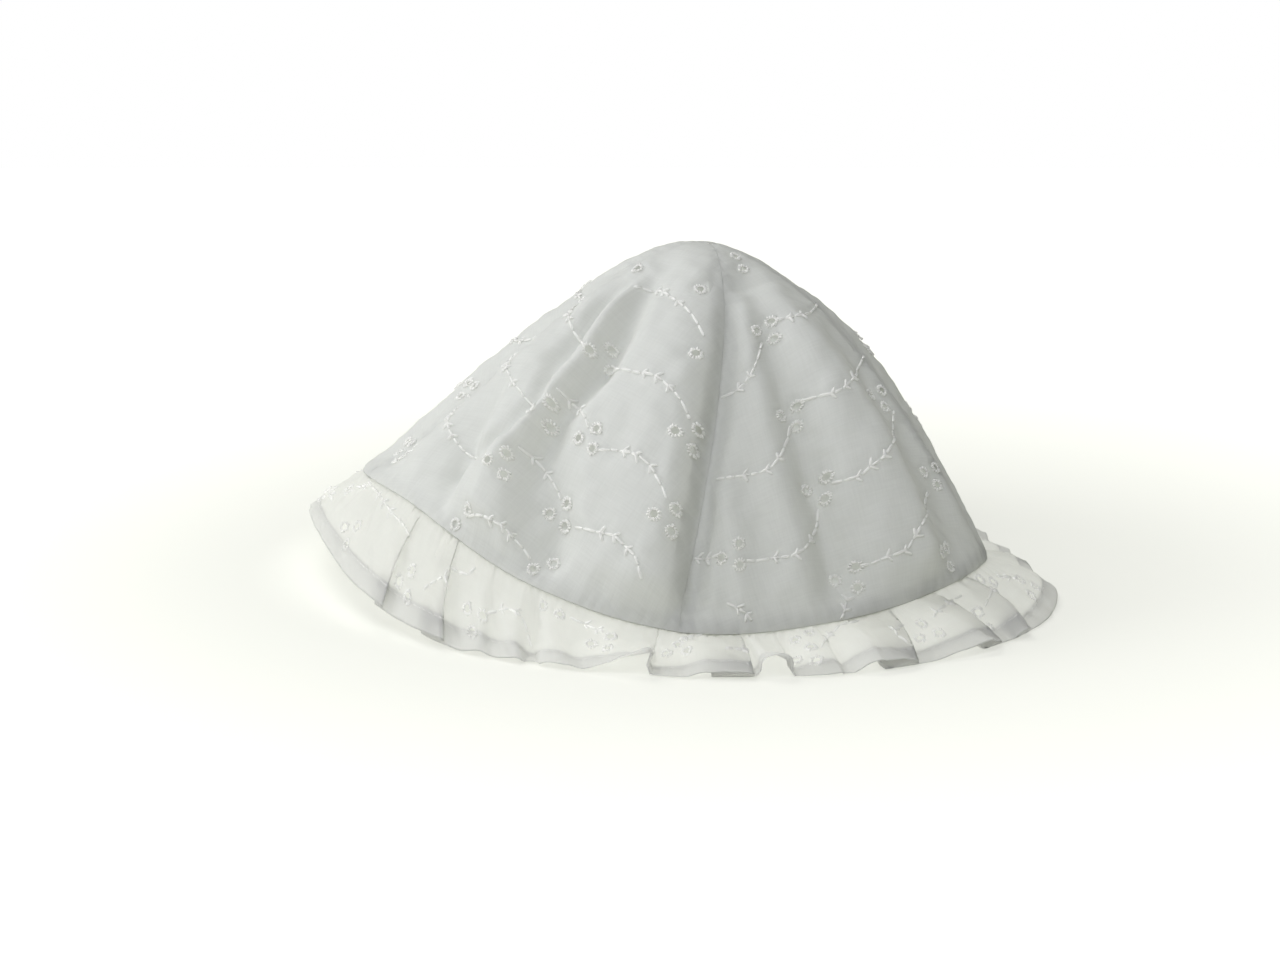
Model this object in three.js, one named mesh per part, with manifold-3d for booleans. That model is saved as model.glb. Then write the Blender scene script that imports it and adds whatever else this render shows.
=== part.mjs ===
// A small child's sun hat in eyelet cotton: five gores sewn into a bell-shaped crown, a plain
// lining under them, and one gathered ruffle sewn in between the two at the crown's edge.
// Millimetres, +Z up, standing on its hem at z = 0 with the front seam towards -Y.

import * as THREE from 'three'
import { mergeVertices } from 'three/addons/utils/BufferGeometryUtils.js'
import Module from 'manifold-3d'

// Cloth
const WALL = 1.0
const SEAM_GAP = 0.3
const LAYER_GAP = 0.35

// The point where the gores meet
const POLE = new THREE.Vector3(11, 0, 121)

// The crown's sewn edge and the ruffle's hem, all round; azimuth 0 is the front, 90 the right
const RIM = [
  { azimuth: 0, edgeRadius: 118, edgeHeight: 8, hemRadius: 144, hemHeight: 0 },
  { azimuth: 30, edgeRadius: 124, edgeHeight: 11, hemRadius: 152, hemHeight: 0 },
  { azimuth: 60, edgeRadius: 124, edgeHeight: 15, hemRadius: 151, hemHeight: 0 },
  { azimuth: 90, edgeRadius: 112, edgeHeight: 7, hemRadius: 129, hemHeight: 0 },
  { azimuth: 120, edgeRadius: 103, edgeHeight: 8, hemRadius: 125, hemHeight: 0 },
  { azimuth: 150, edgeRadius: 107, edgeHeight: 10, hemRadius: 133, hemHeight: 0 },
  { azimuth: 180, edgeRadius: 115, edgeHeight: 10, hemRadius: 142, hemHeight: 0 },
  { azimuth: 210, edgeRadius: 121, edgeHeight: 14, hemRadius: 147, hemHeight: 0 },
  { azimuth: 240, edgeRadius: 123, edgeHeight: 24, hemRadius: 147, hemHeight: 5 },
  { azimuth: 270, edgeRadius: 121, edgeHeight: 37, hemRadius: 142, hemHeight: 18 },
  { azimuth: 300, edgeRadius: 113, edgeHeight: 38, hemRadius: 138, hemHeight: 11 },
  { azimuth: 330, edgeRadius: 113, edgeHeight: 21, hemRadius: 139, hemHeight: 0 },
]

// Each meridian's bend: how far the top runs flat, then where and how low the skirt's bend lies,
// as shares of the meridian's run and fall
const MERIDIANS = [
  { azimuth: 0, shoulder: 0.38, skirt: 0.66, sag: 0.40 },
  { azimuth: 90, shoulder: 0.33, skirt: 0.77, sag: 0.46 },
  { azimuth: 180, shoulder: 0.36, skirt: 0.66, sag: 0.42 },
  { azimuth: 270, shoulder: 0.34, skirt: 0.54, sag: 0.33 },
]

// Seams between the gores, in order round the hat: azimuths at the pole, half way and at the edge
const SEAMS = [
  { name: 'front', top: 14, middle: 7, bottom: -1 },
  { name: 'right', top: 76, middle: 64, bottom: 68 },
  { name: 'back_right', top: 148, middle: 139, bottom: 138 },
  { name: 'back_left', top: 220, middle: 211, bottom: 209 },
  { name: 'left', top: 290, middle: 282, bottom: 278 },
]
// The gores, in the seams' order
const GORES = ['gore_front_right', 'gore_right', 'gore_back', 'gore_left', 'gore_front_left']
const GORE_COLUMNS = 12
const GORE_SHARES = [0.006, 0.07, 0.16, 0.27, 0.39, 0.51, 0.63, 0.75, 0.86, 0.955, 1]

// Folds and dents of the crown: from and to are azimuths at the fold's two ends, start and end
// its shares of the slant, width its half width and rise its height (a valley's is negative).
// The sewn edge is smooth, so every fold dies out between the two shares of EDGE_CALM.
const EDGE_CALM = { from: 0.84, to: 0.955 }
const FOLDS = [
  { name: 'front seam valley', from: 11, to: -1, start: 0.12, end: 1.1, width: 11, rise: -3.4 },
  { name: 'front left roll', from: -27, to: -12, start: 0.3, end: 1.05, width: 15, rise: 2.6 },
  { name: 'front left trough', from: -28, to: -34, start: 0.12, end: 0.85, width: 10, rise: -3.6 },
  { name: 'left crease', from: -44, to: -44, start: 0.22, end: 1.0, width: 6, rise: 3.4 },
  { name: 'left hollow', from: -51, to: -54, start: 0.45, end: 0.96, width: 10, rise: -3.8 },
  { name: 'low front dent', from: -30, to: -24, start: 0.8, end: 1.1, width: 13, rise: -3.2 },
  { name: 'left shoulder', from: -70, to: -75, start: 0.0, end: 0.6, width: 22, rise: 3.4 },
  { name: 'far left roll', from: -68, to: -70, start: 0.3, end: 1.1, width: 14, rise: 2.2 },
  { name: 'front right trough', from: 17, to: 23, start: 0.2, end: 1.1, width: 10, rise: -4.0 },
  { name: 'front right roll', from: 38, to: 35, start: 0.12, end: 1.1, width: 15, rise: 3.0 },
  { name: 'right trough', from: 56, to: 54, start: 0.4, end: 1.05, width: 11, rise: -2.4 },
  { name: 'right seam pull', from: 68, to: 68, start: 0.15, end: 1.1, width: 8, rise: -1.8 },
  { name: 'right roll', from: 86, to: 90, start: 0.25, end: 1.1, width: 16, rise: 2.4 },
  { name: 'back right trough', from: 112, to: 116, start: 0.35, end: 1.1, width: 14, rise: -3.0 },
  { name: 'back right pull', from: 142, to: 138, start: 0.15, end: 1.1, width: 8, rise: -1.8 },
  { name: 'back roll', from: 162, to: 160, start: 0.2, end: 1.1, width: 16, rise: 2.8 },
  { name: 'back trough', from: 184, to: 187, start: 0.3, end: 1.1, width: 12, rise: -3.6 },
  { name: 'back left pull', from: 214, to: 209, start: 0.15, end: 1.1, width: 8, rise: -1.8 },
  { name: 'back left roll', from: 234, to: 232, start: 0.25, end: 1.1, width: 16, rise: 2.6 },
  { name: 'back left trough', from: 252, to: 256, start: 0.3, end: 1.0, width: 13, rise: -2.8 },
]

// Embroidered flowers of three eyelets, in columns along the cloth's grain. In the flat gore,
// down is a flower's distance from the tip along the gore's middle, across the column's distance
// from that middle at its first flower, and slant how far the grain moves across for each mm down
const EYELET_RADIUS = 1.7
const EYELET_SIDES = 6
const EYELET_SPREAD = 4.3
const EYELETS_PER_FLOWER = 3
const EYELET_MARGIN = 3
const FLOWER_COLUMNS = [
  { gore: 'gore_front_right', across: -46, slant: 0, down: [134] },
  { gore: 'gore_front_right', across: -3, slant: 0, down: [18] },
  { gore: 'gore_front_right', across: -12, slant: 0.02, down: [56, 92, 121, 154] },
  { gore: 'gore_front_right', across: 32, slant: 0, down: [90] },
  { gore: 'gore_front_right', across: 46, slant: -0.3, down: [121, 154] },
  { gore: 'gore_front_left', across: 0, slant: 0.4, down: [71, 101, 127, 148] },
  { gore: 'gore_front_left', across: 35, slant: 0.37, down: [52, 81, 107] },
  { gore: 'gore_front_left', across: -11, slant: 0.07, down: [125, 153] },
  { gore: 'gore_front_left', across: -66, slant: 0, down: [125] },
  { gore: 'gore_right', across: -21, slant: 0, down: [65, 99, 133] },
  { gore: 'gore_right', across: 20, slant: 0, down: [82, 116, 150] },
  { gore: 'gore_back', across: -35, slant: 0, down: [102, 136] },
  { gore: 'gore_back', across: 6, slant: 0, down: [50, 84, 118, 152] },
  { gore: 'gore_back', across: 47, slant: 0, down: [136] },
  { gore: 'gore_left', across: -38, slant: 0, down: [106, 140] },
  { gore: 'gore_left', across: 3, slant: 0, down: [55, 89, 123, 157] },
  { gore: 'gore_left', across: 44, slant: 0, down: [140] },
]

// The lining, and the pocket at its edge that takes the ruffle's seam allowance
const LINING_STATIONS = 25
const LINING_SHARES = [0.006, 0.18, 0.4, 0.66, 0.94, 0.965, 1.0]
const LINING_SLACK = 0.3
const POCKET_TOP = 0.94
const POCKET_FULL = 0.965
const ALLOWANCE_SHARE = 0.975

// The ruffle's gathers round the hem: rise is a crest's height over its valleys, lean how far
// its hem is pushed sideways, reach how far the crest stands out past the plain hem line
const GATHERS = [
  { azimuth: -98, rise: 5, lean: -1, reach: 0 },
  { azimuth: -86, rise: 5, lean: 0, reach: 1 },
  { azimuth: -74, rise: 5, lean: -2, reach: 0 },
  { azimuth: -62, rise: 4, lean: -2, reach: 2 },
  { azimuth: -51, rise: 6, lean: -2, reach: 1 },
  { azimuth: -41, rise: 6, lean: -2, reach: 0 },
  { azimuth: -32, rise: 6, lean: 1, reach: -1 },
  { azimuth: -22, rise: 10, lean: 3, reach: -1 },
  { azimuth: -14, rise: 7, lean: -2, reach: -2 },
  { azimuth: -6.5, rise: 13, lean: 4, reach: -3 },
  { azimuth: 10, rise: 10, lean: 3, reach: -2 },
  { azimuth: 19, rise: 7, lean: 5, reach: 0 },
  { azimuth: 30, rise: 10, lean: 5, reach: 0 },
  { azimuth: 39, rise: 9, lean: 6, reach: 1 },
  { azimuth: 48, rise: 10, lean: 6, reach: 0 },
  { azimuth: 58, rise: 9, lean: 5, reach: 1 },
  { azimuth: 69, rise: 9, lean: 4, reach: -1 },
  { azimuth: 81, rise: 7, lean: 2, reach: 0 },
  { azimuth: 93, rise: 6, lean: -2, reach: -1 },
  { azimuth: 106, rise: 7, lean: -3, reach: -1 },
  { azimuth: 118, rise: 8, lean: 2, reach: -1 },
  { azimuth: 131, rise: 10, lean: 3, reach: 1 },
  { azimuth: 143, rise: 8, lean: -2, reach: 0 },
  { azimuth: 156, rise: 9, lean: -3, reach: 0 },
  { azimuth: 168, rise: 7, lean: 3, reach: 1 },
  { azimuth: 181, rise: 10, lean: 3, reach: -1 },
  { azimuth: 194, rise: 8, lean: -2, reach: 1 },
  { azimuth: 207, rise: 9, lean: -3, reach: 0 },
  { azimuth: 220, rise: 7, lean: 2, reach: 0 },
  { azimuth: 233, rise: 8, lean: 2, reach: 1 },
  { azimuth: 247, rise: 6, lean: -2, reach: 0 },
]
const GATHER_STEPS = 4
const RUFFLE_SHARES = [0, 0.34, 0.72, 1]
const SHARE_OF_CREST_AT_SEAM = 0.12
const CREST_ABOVE = 0.45
const RUFFLE_BOW = 1.0

// Where the hem lies on the surface its lower skin is flat
const FLOOR = 0

const radians = THREE.MathUtils.degToRad
const smoothstep = THREE.MathUtils.smoothstep

// A direction away from the hat's axis
function outward(azimuth) {
  const angle = radians(azimuth)
  return new THREE.Vector3(Math.sin(angle), -Math.cos(angle), 0)
}

// A table's value at any azimuth, as a closed smooth curve through equally spaced rows
function aroundHat(rows, key, azimuth) {
  const step = 360 / rows.length
  const place = THREE.MathUtils.euclideanModulo(azimuth, 360) / step
  const row = Math.floor(place) % rows.length
  const f = place - Math.floor(place)
  const [a, b, c, d] = [-1, 0, 1, 2].map((k) => rows[(row + k + rows.length) % rows.length][key])
  const bend = (2 * a - 5 * b + 4 * c - d) * f * f + (3 * b - a - 3 * c + d) * f * f * f
  return b + 0.5 * ((c - a) * f + bend)
}

function ringPoint(radiusKey, heightKey, azimuth) {
  const point = outward(azimuth).multiplyScalar(aroundHat(RIM, radiusKey, azimuth))
  return point.setZ(aroundHat(RIM, heightKey, azimuth))
}

const edgePoint = (azimuth) => ringPoint('edgeRadius', 'edgeHeight', azimuth)
const hemPoint = (azimuth) => ringPoint('hemRadius', 'hemHeight', azimuth)

// The crown's unfolded meridian at an azimuth, from the pole to the sewn edge
const meridians = new Map()
function meridian(azimuth) {
  if (!meridians.has(azimuth)) {
    const edge = edgePoint(azimuth)
    const run = Math.hypot(edge.x - POLE.x, edge.y - POLE.y)
    const fall = POLE.z - edge.z
    const bend = (key) => aroundHat(MERIDIANS, key, azimuth)
    const curve = new THREE.CubicBezierCurve(
      new THREE.Vector2(0, 0),
      new THREE.Vector2(run * bend('shoulder'), 0),
      new THREE.Vector2(run * bend('skirt'), -fall * bend('sag')),
      new THREE.Vector2(run, -fall),
    )
    const heading = new THREE.Vector3(edge.x - POLE.x, edge.y - POLE.y, 0).divideScalar(run)
    meridians.set(azimuth, { curve, heading, length: curve.getLength() })
  }
  return meridians.get(azimuth)
}

function smoothCrown(azimuth, share) {
  const { curve, heading } = meridian(azimuth)
  const at = curve.getPointAt(THREE.MathUtils.clamp(share, 0, 1))
  return POLE.clone().addScaledVector(heading, at.x).setZ(POLE.z + at.y)
}

// The smooth crown's outward normal, from short probes round the spot
const PROBE_DEGREES = 0.5
const PROBE_SHARE = 0.01
function crownNormal(azimuth, share) {
  const middle = THREE.MathUtils.clamp(share, PROBE_SHARE * 2, 1 - PROBE_SHARE)
  const east = smoothCrown(azimuth + PROBE_DEGREES, middle).sub(smoothCrown(azimuth - PROBE_DEGREES, middle))
  const south = smoothCrown(azimuth, middle + PROBE_SHARE).sub(smoothCrown(azimuth, middle - PROBE_SHARE))
  return south.cross(east).normalize()
}

// Shortest turn from one azimuth to another
const turnTo = (azimuth, centre) => THREE.MathUtils.euclideanModulo(azimuth - centre + 180, 360) - 180

const radiusAt = (azimuth, share) => {
  const spot = smoothCrown(azimuth, share)
  return Math.hypot(spot.x - POLE.x, spot.y - POLE.y)
}

// How far the folds lift the cloth off the smooth crown at a spot
function foldRise(azimuth, share) {
  const reach = radiusAt(azimuth, share)
  let rise = 0
  for (const fold of FOLDS) {
    if (share <= fold.start || share >= fold.end) continue
    const along = (share - fold.start) / (fold.end - fold.start)
    const across = radians(turnTo(azimuth, THREE.MathUtils.lerp(fold.from, fold.to, along))) * reach
    rise += fold.rise * Math.sin(Math.PI * along) ** 0.75 * Math.exp(-((across / fold.width) ** 2))
  }
  return rise * (1 - smoothstep(share, EDGE_CALM.from, EDGE_CALM.to))
}

// A point of the folded crown, inset mm below its outer skin
function crownPoint(azimuth, share, inset = 0) {
  const offset = foldRise(azimuth, share) - inset
  return smoothCrown(azimuth, share).addScaledVector(crownNormal(azimuth, share), offset)
}

// A closed wall from two grids of points of the same size; a ring joins its last column to its
// first, and a strip is closed along its sides as well
function wall(outer, inner, ring) {
  const rows = outer.length
  const columns = outer[0].length
  const points = [...outer.flat(), ...inner.flat()]
  const index = (side, row, column) => (side * rows + row) * columns + (column % columns)
  const faces = []
  const quad = (a, b, c, d) => {
    const flip = points[a].distanceTo(points[c]) > points[b].distanceTo(points[d])
    faces.push(...(flip ? [b, c, d, b, d, a] : [a, b, c, a, c, d]))
  }
  const span = ring ? columns : columns - 1
  for (let row = 0; row < rows - 1; row++) {
    for (let column = 0; column < span; column++) {
      const corner = (side, dr, dc) => index(side, row + dr, column + dc)
      quad(corner(0, 0, 0), corner(0, 1, 0), corner(0, 1, 1), corner(0, 0, 1))
      quad(corner(1, 0, 0), corner(1, 0, 1), corner(1, 1, 1), corner(1, 1, 0))
    }
  }
  for (let column = 0; column < span; column++) {
    const next = column + 1
    const last = rows - 1
    quad(index(0, 0, column), index(0, 0, next), index(1, 0, next), index(1, 0, column))
    quad(index(0, last, column), index(1, last, column), index(1, last, next), index(0, last, next))
  }
  if (!ring) {
    for (let row = 0; row < rows - 1; row++) {
      const last = columns - 1
      quad(index(0, row, 0), index(1, row, 0), index(1, row + 1, 0), index(0, row + 1, 0))
      quad(index(0, row, last), index(0, row + 1, last), index(1, row + 1, last), index(1, row, last))
    }
  }
  const geometry = new THREE.BufferGeometry().setFromPoints(points)
  geometry.setIndex(faces)
  return geometry
}

const wasm = await Module()
wasm.setup()

// A closed mesh as a solid that can be cut, and back
function toSolid(geometry) {
  const bare = geometry.clone()
  bare.deleteAttribute('normal')
  bare.deleteAttribute('uv')
  const merged = mergeVertices(bare, 1e-4)
  return new wasm.Manifold(new wasm.Mesh({
    numProp: 3,
    vertProperties: new Float32Array(merged.attributes.position.array),
    triVerts: new Uint32Array(merged.index.array),
  }))
}

function toGeometry(solid) {
  const { vertProperties, triVerts } = solid.getMesh()
  const geometry = new THREE.BufferGeometry()
  geometry.setAttribute('position', new THREE.BufferAttribute(new Float32Array(vertProperties), 3))
  geometry.setIndex(new THREE.BufferAttribute(new Uint32Array(triVerts), 1))
  return geometry
}

function seamAzimuth(seam, share) {
  const { top, middle, bottom } = SEAMS[seam % SEAMS.length]
  const lap = seam >= SEAMS.length ? 360 : 0
  const bend = top * (1 - share) * (1 - 2 * share) + middle * 4 * share * (1 - share)
  return lap + bend + bottom * share * (2 * share - 1)
}

// Azimuths of a gore's two sides at a share of the slant, less half the seam's gap
function goreSides(gore, share) {
  const inset = (azimuth) => THREE.MathUtils.radToDeg(SEAM_GAP / 2 / radiusAt(azimuth, share))
  const left = seamAzimuth(gore, share)
  const right = seamAzimuth(gore + 1, share)
  return [left + inset(left), right - inset(right)]
}

function goreWall(gore) {
  const skin = (inset) => GORE_SHARES.map((share) => {
    const [left, right] = goreSides(gore, share)
    return Array.from({ length: GORE_COLUMNS + 1 }, (_, column) =>
      crownPoint(THREE.MathUtils.lerp(left, right, column / GORE_COLUMNS), share, inset))
  })
  return wall(skin(0), skin(WALL), false)
}

// A gore's width at a share of the slant, measured along the smooth crown
const WIDTH_STEPS = 8
function goreWidth(left, right, share) {
  let width = 0
  for (let step = 0; step < WIDTH_STEPS; step++) {
    const [here, next] = [step, step + 1].map((k) => THREE.MathUtils.lerp(left, right, k / WIDTH_STEPS))
    width += smoothCrown(here, share).distanceTo(smoothCrown(next, share))
  }
  return width
}

// Where a spot of the flat gore lies on the crown
function flatToCrown(gore, across, down) {
  const middle = (seamAzimuth(gore, 1) + seamAzimuth(gore + 1, 1)) / 2
  const reach = Math.hypot(across, down)
  const share = Math.min(1, reach / meridian(middle).length)
  const [left, right] = goreSides(gore, share)
  const width = goreWidth(left, right, share)
  const side = 0.5 + Math.atan2(across, down) * reach / width
  return { azimuth: THREE.MathUtils.lerp(left, right, side), share, side, width }
}

// One eyelet's drill: a hexagonal prism through the cloth
function eyeletDrill(place) {
  const drill = new THREE.CylinderGeometry(EYELET_RADIUS, EYELET_RADIUS, WALL * 4, EYELET_SIDES)
  const normal = crownNormal(place.azimuth, place.share)
  drill.applyQuaternion(new THREE.Quaternion().setFromUnitVectors(new THREE.Vector3(0, 1, 0), normal))
  drill.translate(...crownPoint(place.azimuth, place.share, WALL / 2).toArray())
  return toSolid(drill)
}

// Each flower has one eyelet to the left of the grain and two to the right of it
function goreEyelets(gore) {
  const places = []
  for (const column of FLOWER_COLUMNS.filter((row) => row.gore === GORES[gore])) {
    const grain = new THREE.Vector2(column.slant, 1).normalize()
    const side = new THREE.Vector2(grain.y, -grain.x)
    for (const down of column.down) {
      const across = column.across + column.slant * (down - column.down[0])
      for (let eyelet = 0; eyelet < EYELETS_PER_FLOWER; eyelet++) {
        const angle = 2 * Math.PI * eyelet / EYELETS_PER_FLOWER
        const spot = new THREE.Vector2(across, down)
          .addScaledVector(grain, EYELET_SPREAD * Math.sin(angle))
          .addScaledVector(side, -EYELET_SPREAD * Math.cos(angle))
        places.push(flatToCrown(gore, spot.x, spot.y))
      }
    }
  }
  const clear = (place) => Math.min(place.side, 1 - place.side) * place.width > EYELET_MARGIN
  return places.filter((place) => clear(place) && place.share < ALLOWANCE_SHARE)
}

function goreGeometry(gore) {
  let solid = toSolid(goreWall(gore))
  for (const place of goreEyelets(gore)) solid = solid.subtract(eyeletDrill(place))
  return toGeometry(solid)
}

// How far the lining lies under the smooth crown: below the deepest fold near each spot, as it
// hangs free there, and deeper at the edge, to leave the ruffle room
function liningInset(azimuth, row) {
  const step = 360 / LINING_STATIONS
  const near = [-1, -0.5, 0, 0.5, 1]
  const shares = near.map((k) => {
    const other = LINING_SHARES[THREE.MathUtils.clamp(row + Math.sign(k), 0, LINING_SHARES.length - 1)]
    return THREE.MathUtils.lerp(LINING_SHARES[row], other, Math.abs(k))
  })
  const rises = shares.flatMap((share) => near.map((k) => foldRise(azimuth + k * step, share)))
  const deepest = Math.min(0, ...rises)
  const pocket = smoothstep(LINING_SHARES[row], POCKET_TOP, POCKET_FULL)
  return WALL + LAYER_GAP + LINING_SLACK - deepest + pocket * (WALL + LAYER_GAP)
}

function liningGeometry() {
  const skin = (depth) => LINING_SHARES.map((share, row) =>
    Array.from({ length: LINING_STATIONS }, (_, station) => {
      const azimuth = 360 * station / LINING_STATIONS
      const below = liningInset(azimuth, row) + depth
      return smoothCrown(azimuth, share).addScaledVector(crownNormal(azimuth, share), -below)
    }))
  return wall(skin(0), skin(WALL), true)
}

// The stations round the ruffle, a fixed number to each gather, with the gather's shape at each
function ruffleStations() {
  const stations = []
  GATHERS.forEach((gather, row) => {
    const next = GATHERS[(row + 1) % GATHERS.length]
    const span = THREE.MathUtils.euclideanModulo(next.azimuth - gather.azimuth, 360)
    for (let step = 0; step < GATHER_STEPS; step++) {
      const f = step / GATHER_STEPS
      const mixed = (key) => THREE.MathUtils.lerp(gather[key], next[key], smoothstep(f, 0, 1))
      stations.push({
        azimuth: gather.azimuth + span * f,
        crest: 0.5 + 0.5 * Math.cos(2 * Math.PI * f),
        rise: mixed('rise'),
        lean: mixed('lean'),
        reach: mixed('reach'),
      })
    }
  })
  return stations
}

// A point of the ruffle's middle layer; share 0 is its seam and 1 its hem
function rufflePoint(station, share) {
  const { azimuth } = station
  const seamDepth = WALL + LAYER_GAP + WALL / 2
  const seam = crownPoint(azimuth, 1, seamDepth)
  const hem = hemPoint(azimuth)
  const along = hem.clone().sub(seam).normalize()
  const sideways = new THREE.Vector3(0, 0, 1).cross(outward(azimuth))
  const up = sideways.clone().cross(along).negate()
  if (up.z < 0) up.negate()
  const growth = THREE.MathUtils.lerp(SHARE_OF_CREST_AT_SEAM * share, 1, share)
  const lift = (station.crest - 1 + CREST_ABOVE) * station.rise * growth
  return seam.lerp(hem, share)
    .addScaledVector(up, lift + RUFFLE_BOW * Math.sin(Math.PI * share))
    .addScaledVector(sideways, station.lean * station.crest * growth)
    .addScaledVector(along, station.reach * growth)
}

function ruffleGeometry() {
  const stations = ruffleStations()
  const count = stations.length
  const middle = RUFFLE_SHARES.map((share) => stations.map((station) => rufflePoint(station, share)))
  const skin = (side) => {
    const allowance = stations.map(({ azimuth }) =>
      crownPoint(azimuth, ALLOWANCE_SHARE, WALL + LAYER_GAP + (side > 0 ? 0 : WALL)))
    const seam = stations.map(({ azimuth }) =>
      crownPoint(azimuth, 1, WALL + LAYER_GAP + (side > 0 ? 0 : WALL)))
    const free = middle.slice(1).map((row, above) => row.map((point, column) => {
      const east = row[(column + 1) % count].clone().sub(row[(column + count - 1) % count])
      const south = point.clone().sub(middle[above][column])
      const moved = point.clone().addScaledVector(south.cross(east).normalize(), side * WALL / 2)
      const lowest = FLOOR + (side > 0 ? WALL : 0)
      return moved.setZ(Math.max(moved.z, lowest))
    }))
    return [allowance, seam, ...free]
  }
  return wall(skin(1), skin(-1), true)
}

const finish = (colour, roughness) =>
  new THREE.MeshStandardMaterial({ color: colour, roughness, metalness: 0, side: THREE.FrontSide })

const hat = new THREE.Group()

function addPiece(name, geometry, material) {
  const piece = new THREE.Mesh(geometry, material)
  piece.name = name
  hat.add(piece)
}

const eyeletCotton = finish(0xeceee8, 0.9)
GORES.forEach((name, gore) => addPiece(name, goreGeometry(gore), eyeletCotton.clone()))
addPiece('lining', liningGeometry(), finish(0xe4e6e2, 0.92))
addPiece('ruffle', ruffleGeometry(), finish(0xf4f4f0, 0.88))

// The origin is the middle of the footprint, on the surface that the hem rests on
const extent = new THREE.Box3().setFromObject(hat)
const middle = extent.getCenter(new THREE.Vector3())
hat.position.set(-middle.x, -middle.y, FLOOR - extent.min.z)

export default hat
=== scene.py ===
import bpy
import numpy as np
from mathutils.geometry import delaunay_2d_cdt
from mathutils.kdtree import KDTree
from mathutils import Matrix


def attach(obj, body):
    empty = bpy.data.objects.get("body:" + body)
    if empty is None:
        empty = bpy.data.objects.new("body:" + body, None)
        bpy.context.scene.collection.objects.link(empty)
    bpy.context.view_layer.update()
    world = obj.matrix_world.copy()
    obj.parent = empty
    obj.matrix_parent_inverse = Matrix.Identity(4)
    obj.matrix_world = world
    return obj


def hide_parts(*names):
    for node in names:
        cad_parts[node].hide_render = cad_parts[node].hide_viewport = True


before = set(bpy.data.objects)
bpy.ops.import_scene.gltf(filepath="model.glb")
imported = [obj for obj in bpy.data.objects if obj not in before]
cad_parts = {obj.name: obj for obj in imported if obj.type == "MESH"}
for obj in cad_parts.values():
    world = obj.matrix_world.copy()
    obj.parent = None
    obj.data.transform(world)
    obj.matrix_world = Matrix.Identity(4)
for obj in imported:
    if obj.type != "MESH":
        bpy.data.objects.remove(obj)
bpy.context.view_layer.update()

# The crown: five gores of plain-woven white cotton with an embroidered eyelet pattern, each with its
# allowances turned in, sewn side to side. The soft crown has sunk into folds that run from the top
# down and die out at the sewn edge.
MM = 0.001
# The crown's top, and what moves the hat's own axis to the middle of its footprint
POLE = np.array([11.0, 0.0, 121.0])
TO_CENTRE = np.array([2.69961, -0.05546, 0.0])

# azimuth, the sewn edge's radius and height, the hem's radius and height
RIM = np.array([
    [0, 118, 8, 144, 0], [30, 124, 11, 152, 0], [60, 124, 15, 151, 0], [90, 112, 7, 129, 0],
    [120, 103, 8, 125, 0], [150, 107, 10, 133, 0], [180, 115, 10, 142, 0], [210, 121, 14, 147, 0],
    [240, 123, 24, 147, 5], [270, 121, 37, 142, 18], [300, 113, 38, 138, 11], [330, 113, 21, 139, 0],
])
# azimuth, then how far a meridian's top runs flat, where its skirt bends and how low, as shares
MERIDIANS = np.array([
    [0, 0.38, 0.66, 0.40], [90, 0.33, 0.77, 0.46], [180, 0.36, 0.66, 0.42], [270, 0.34, 0.54, 0.33],
])
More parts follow.
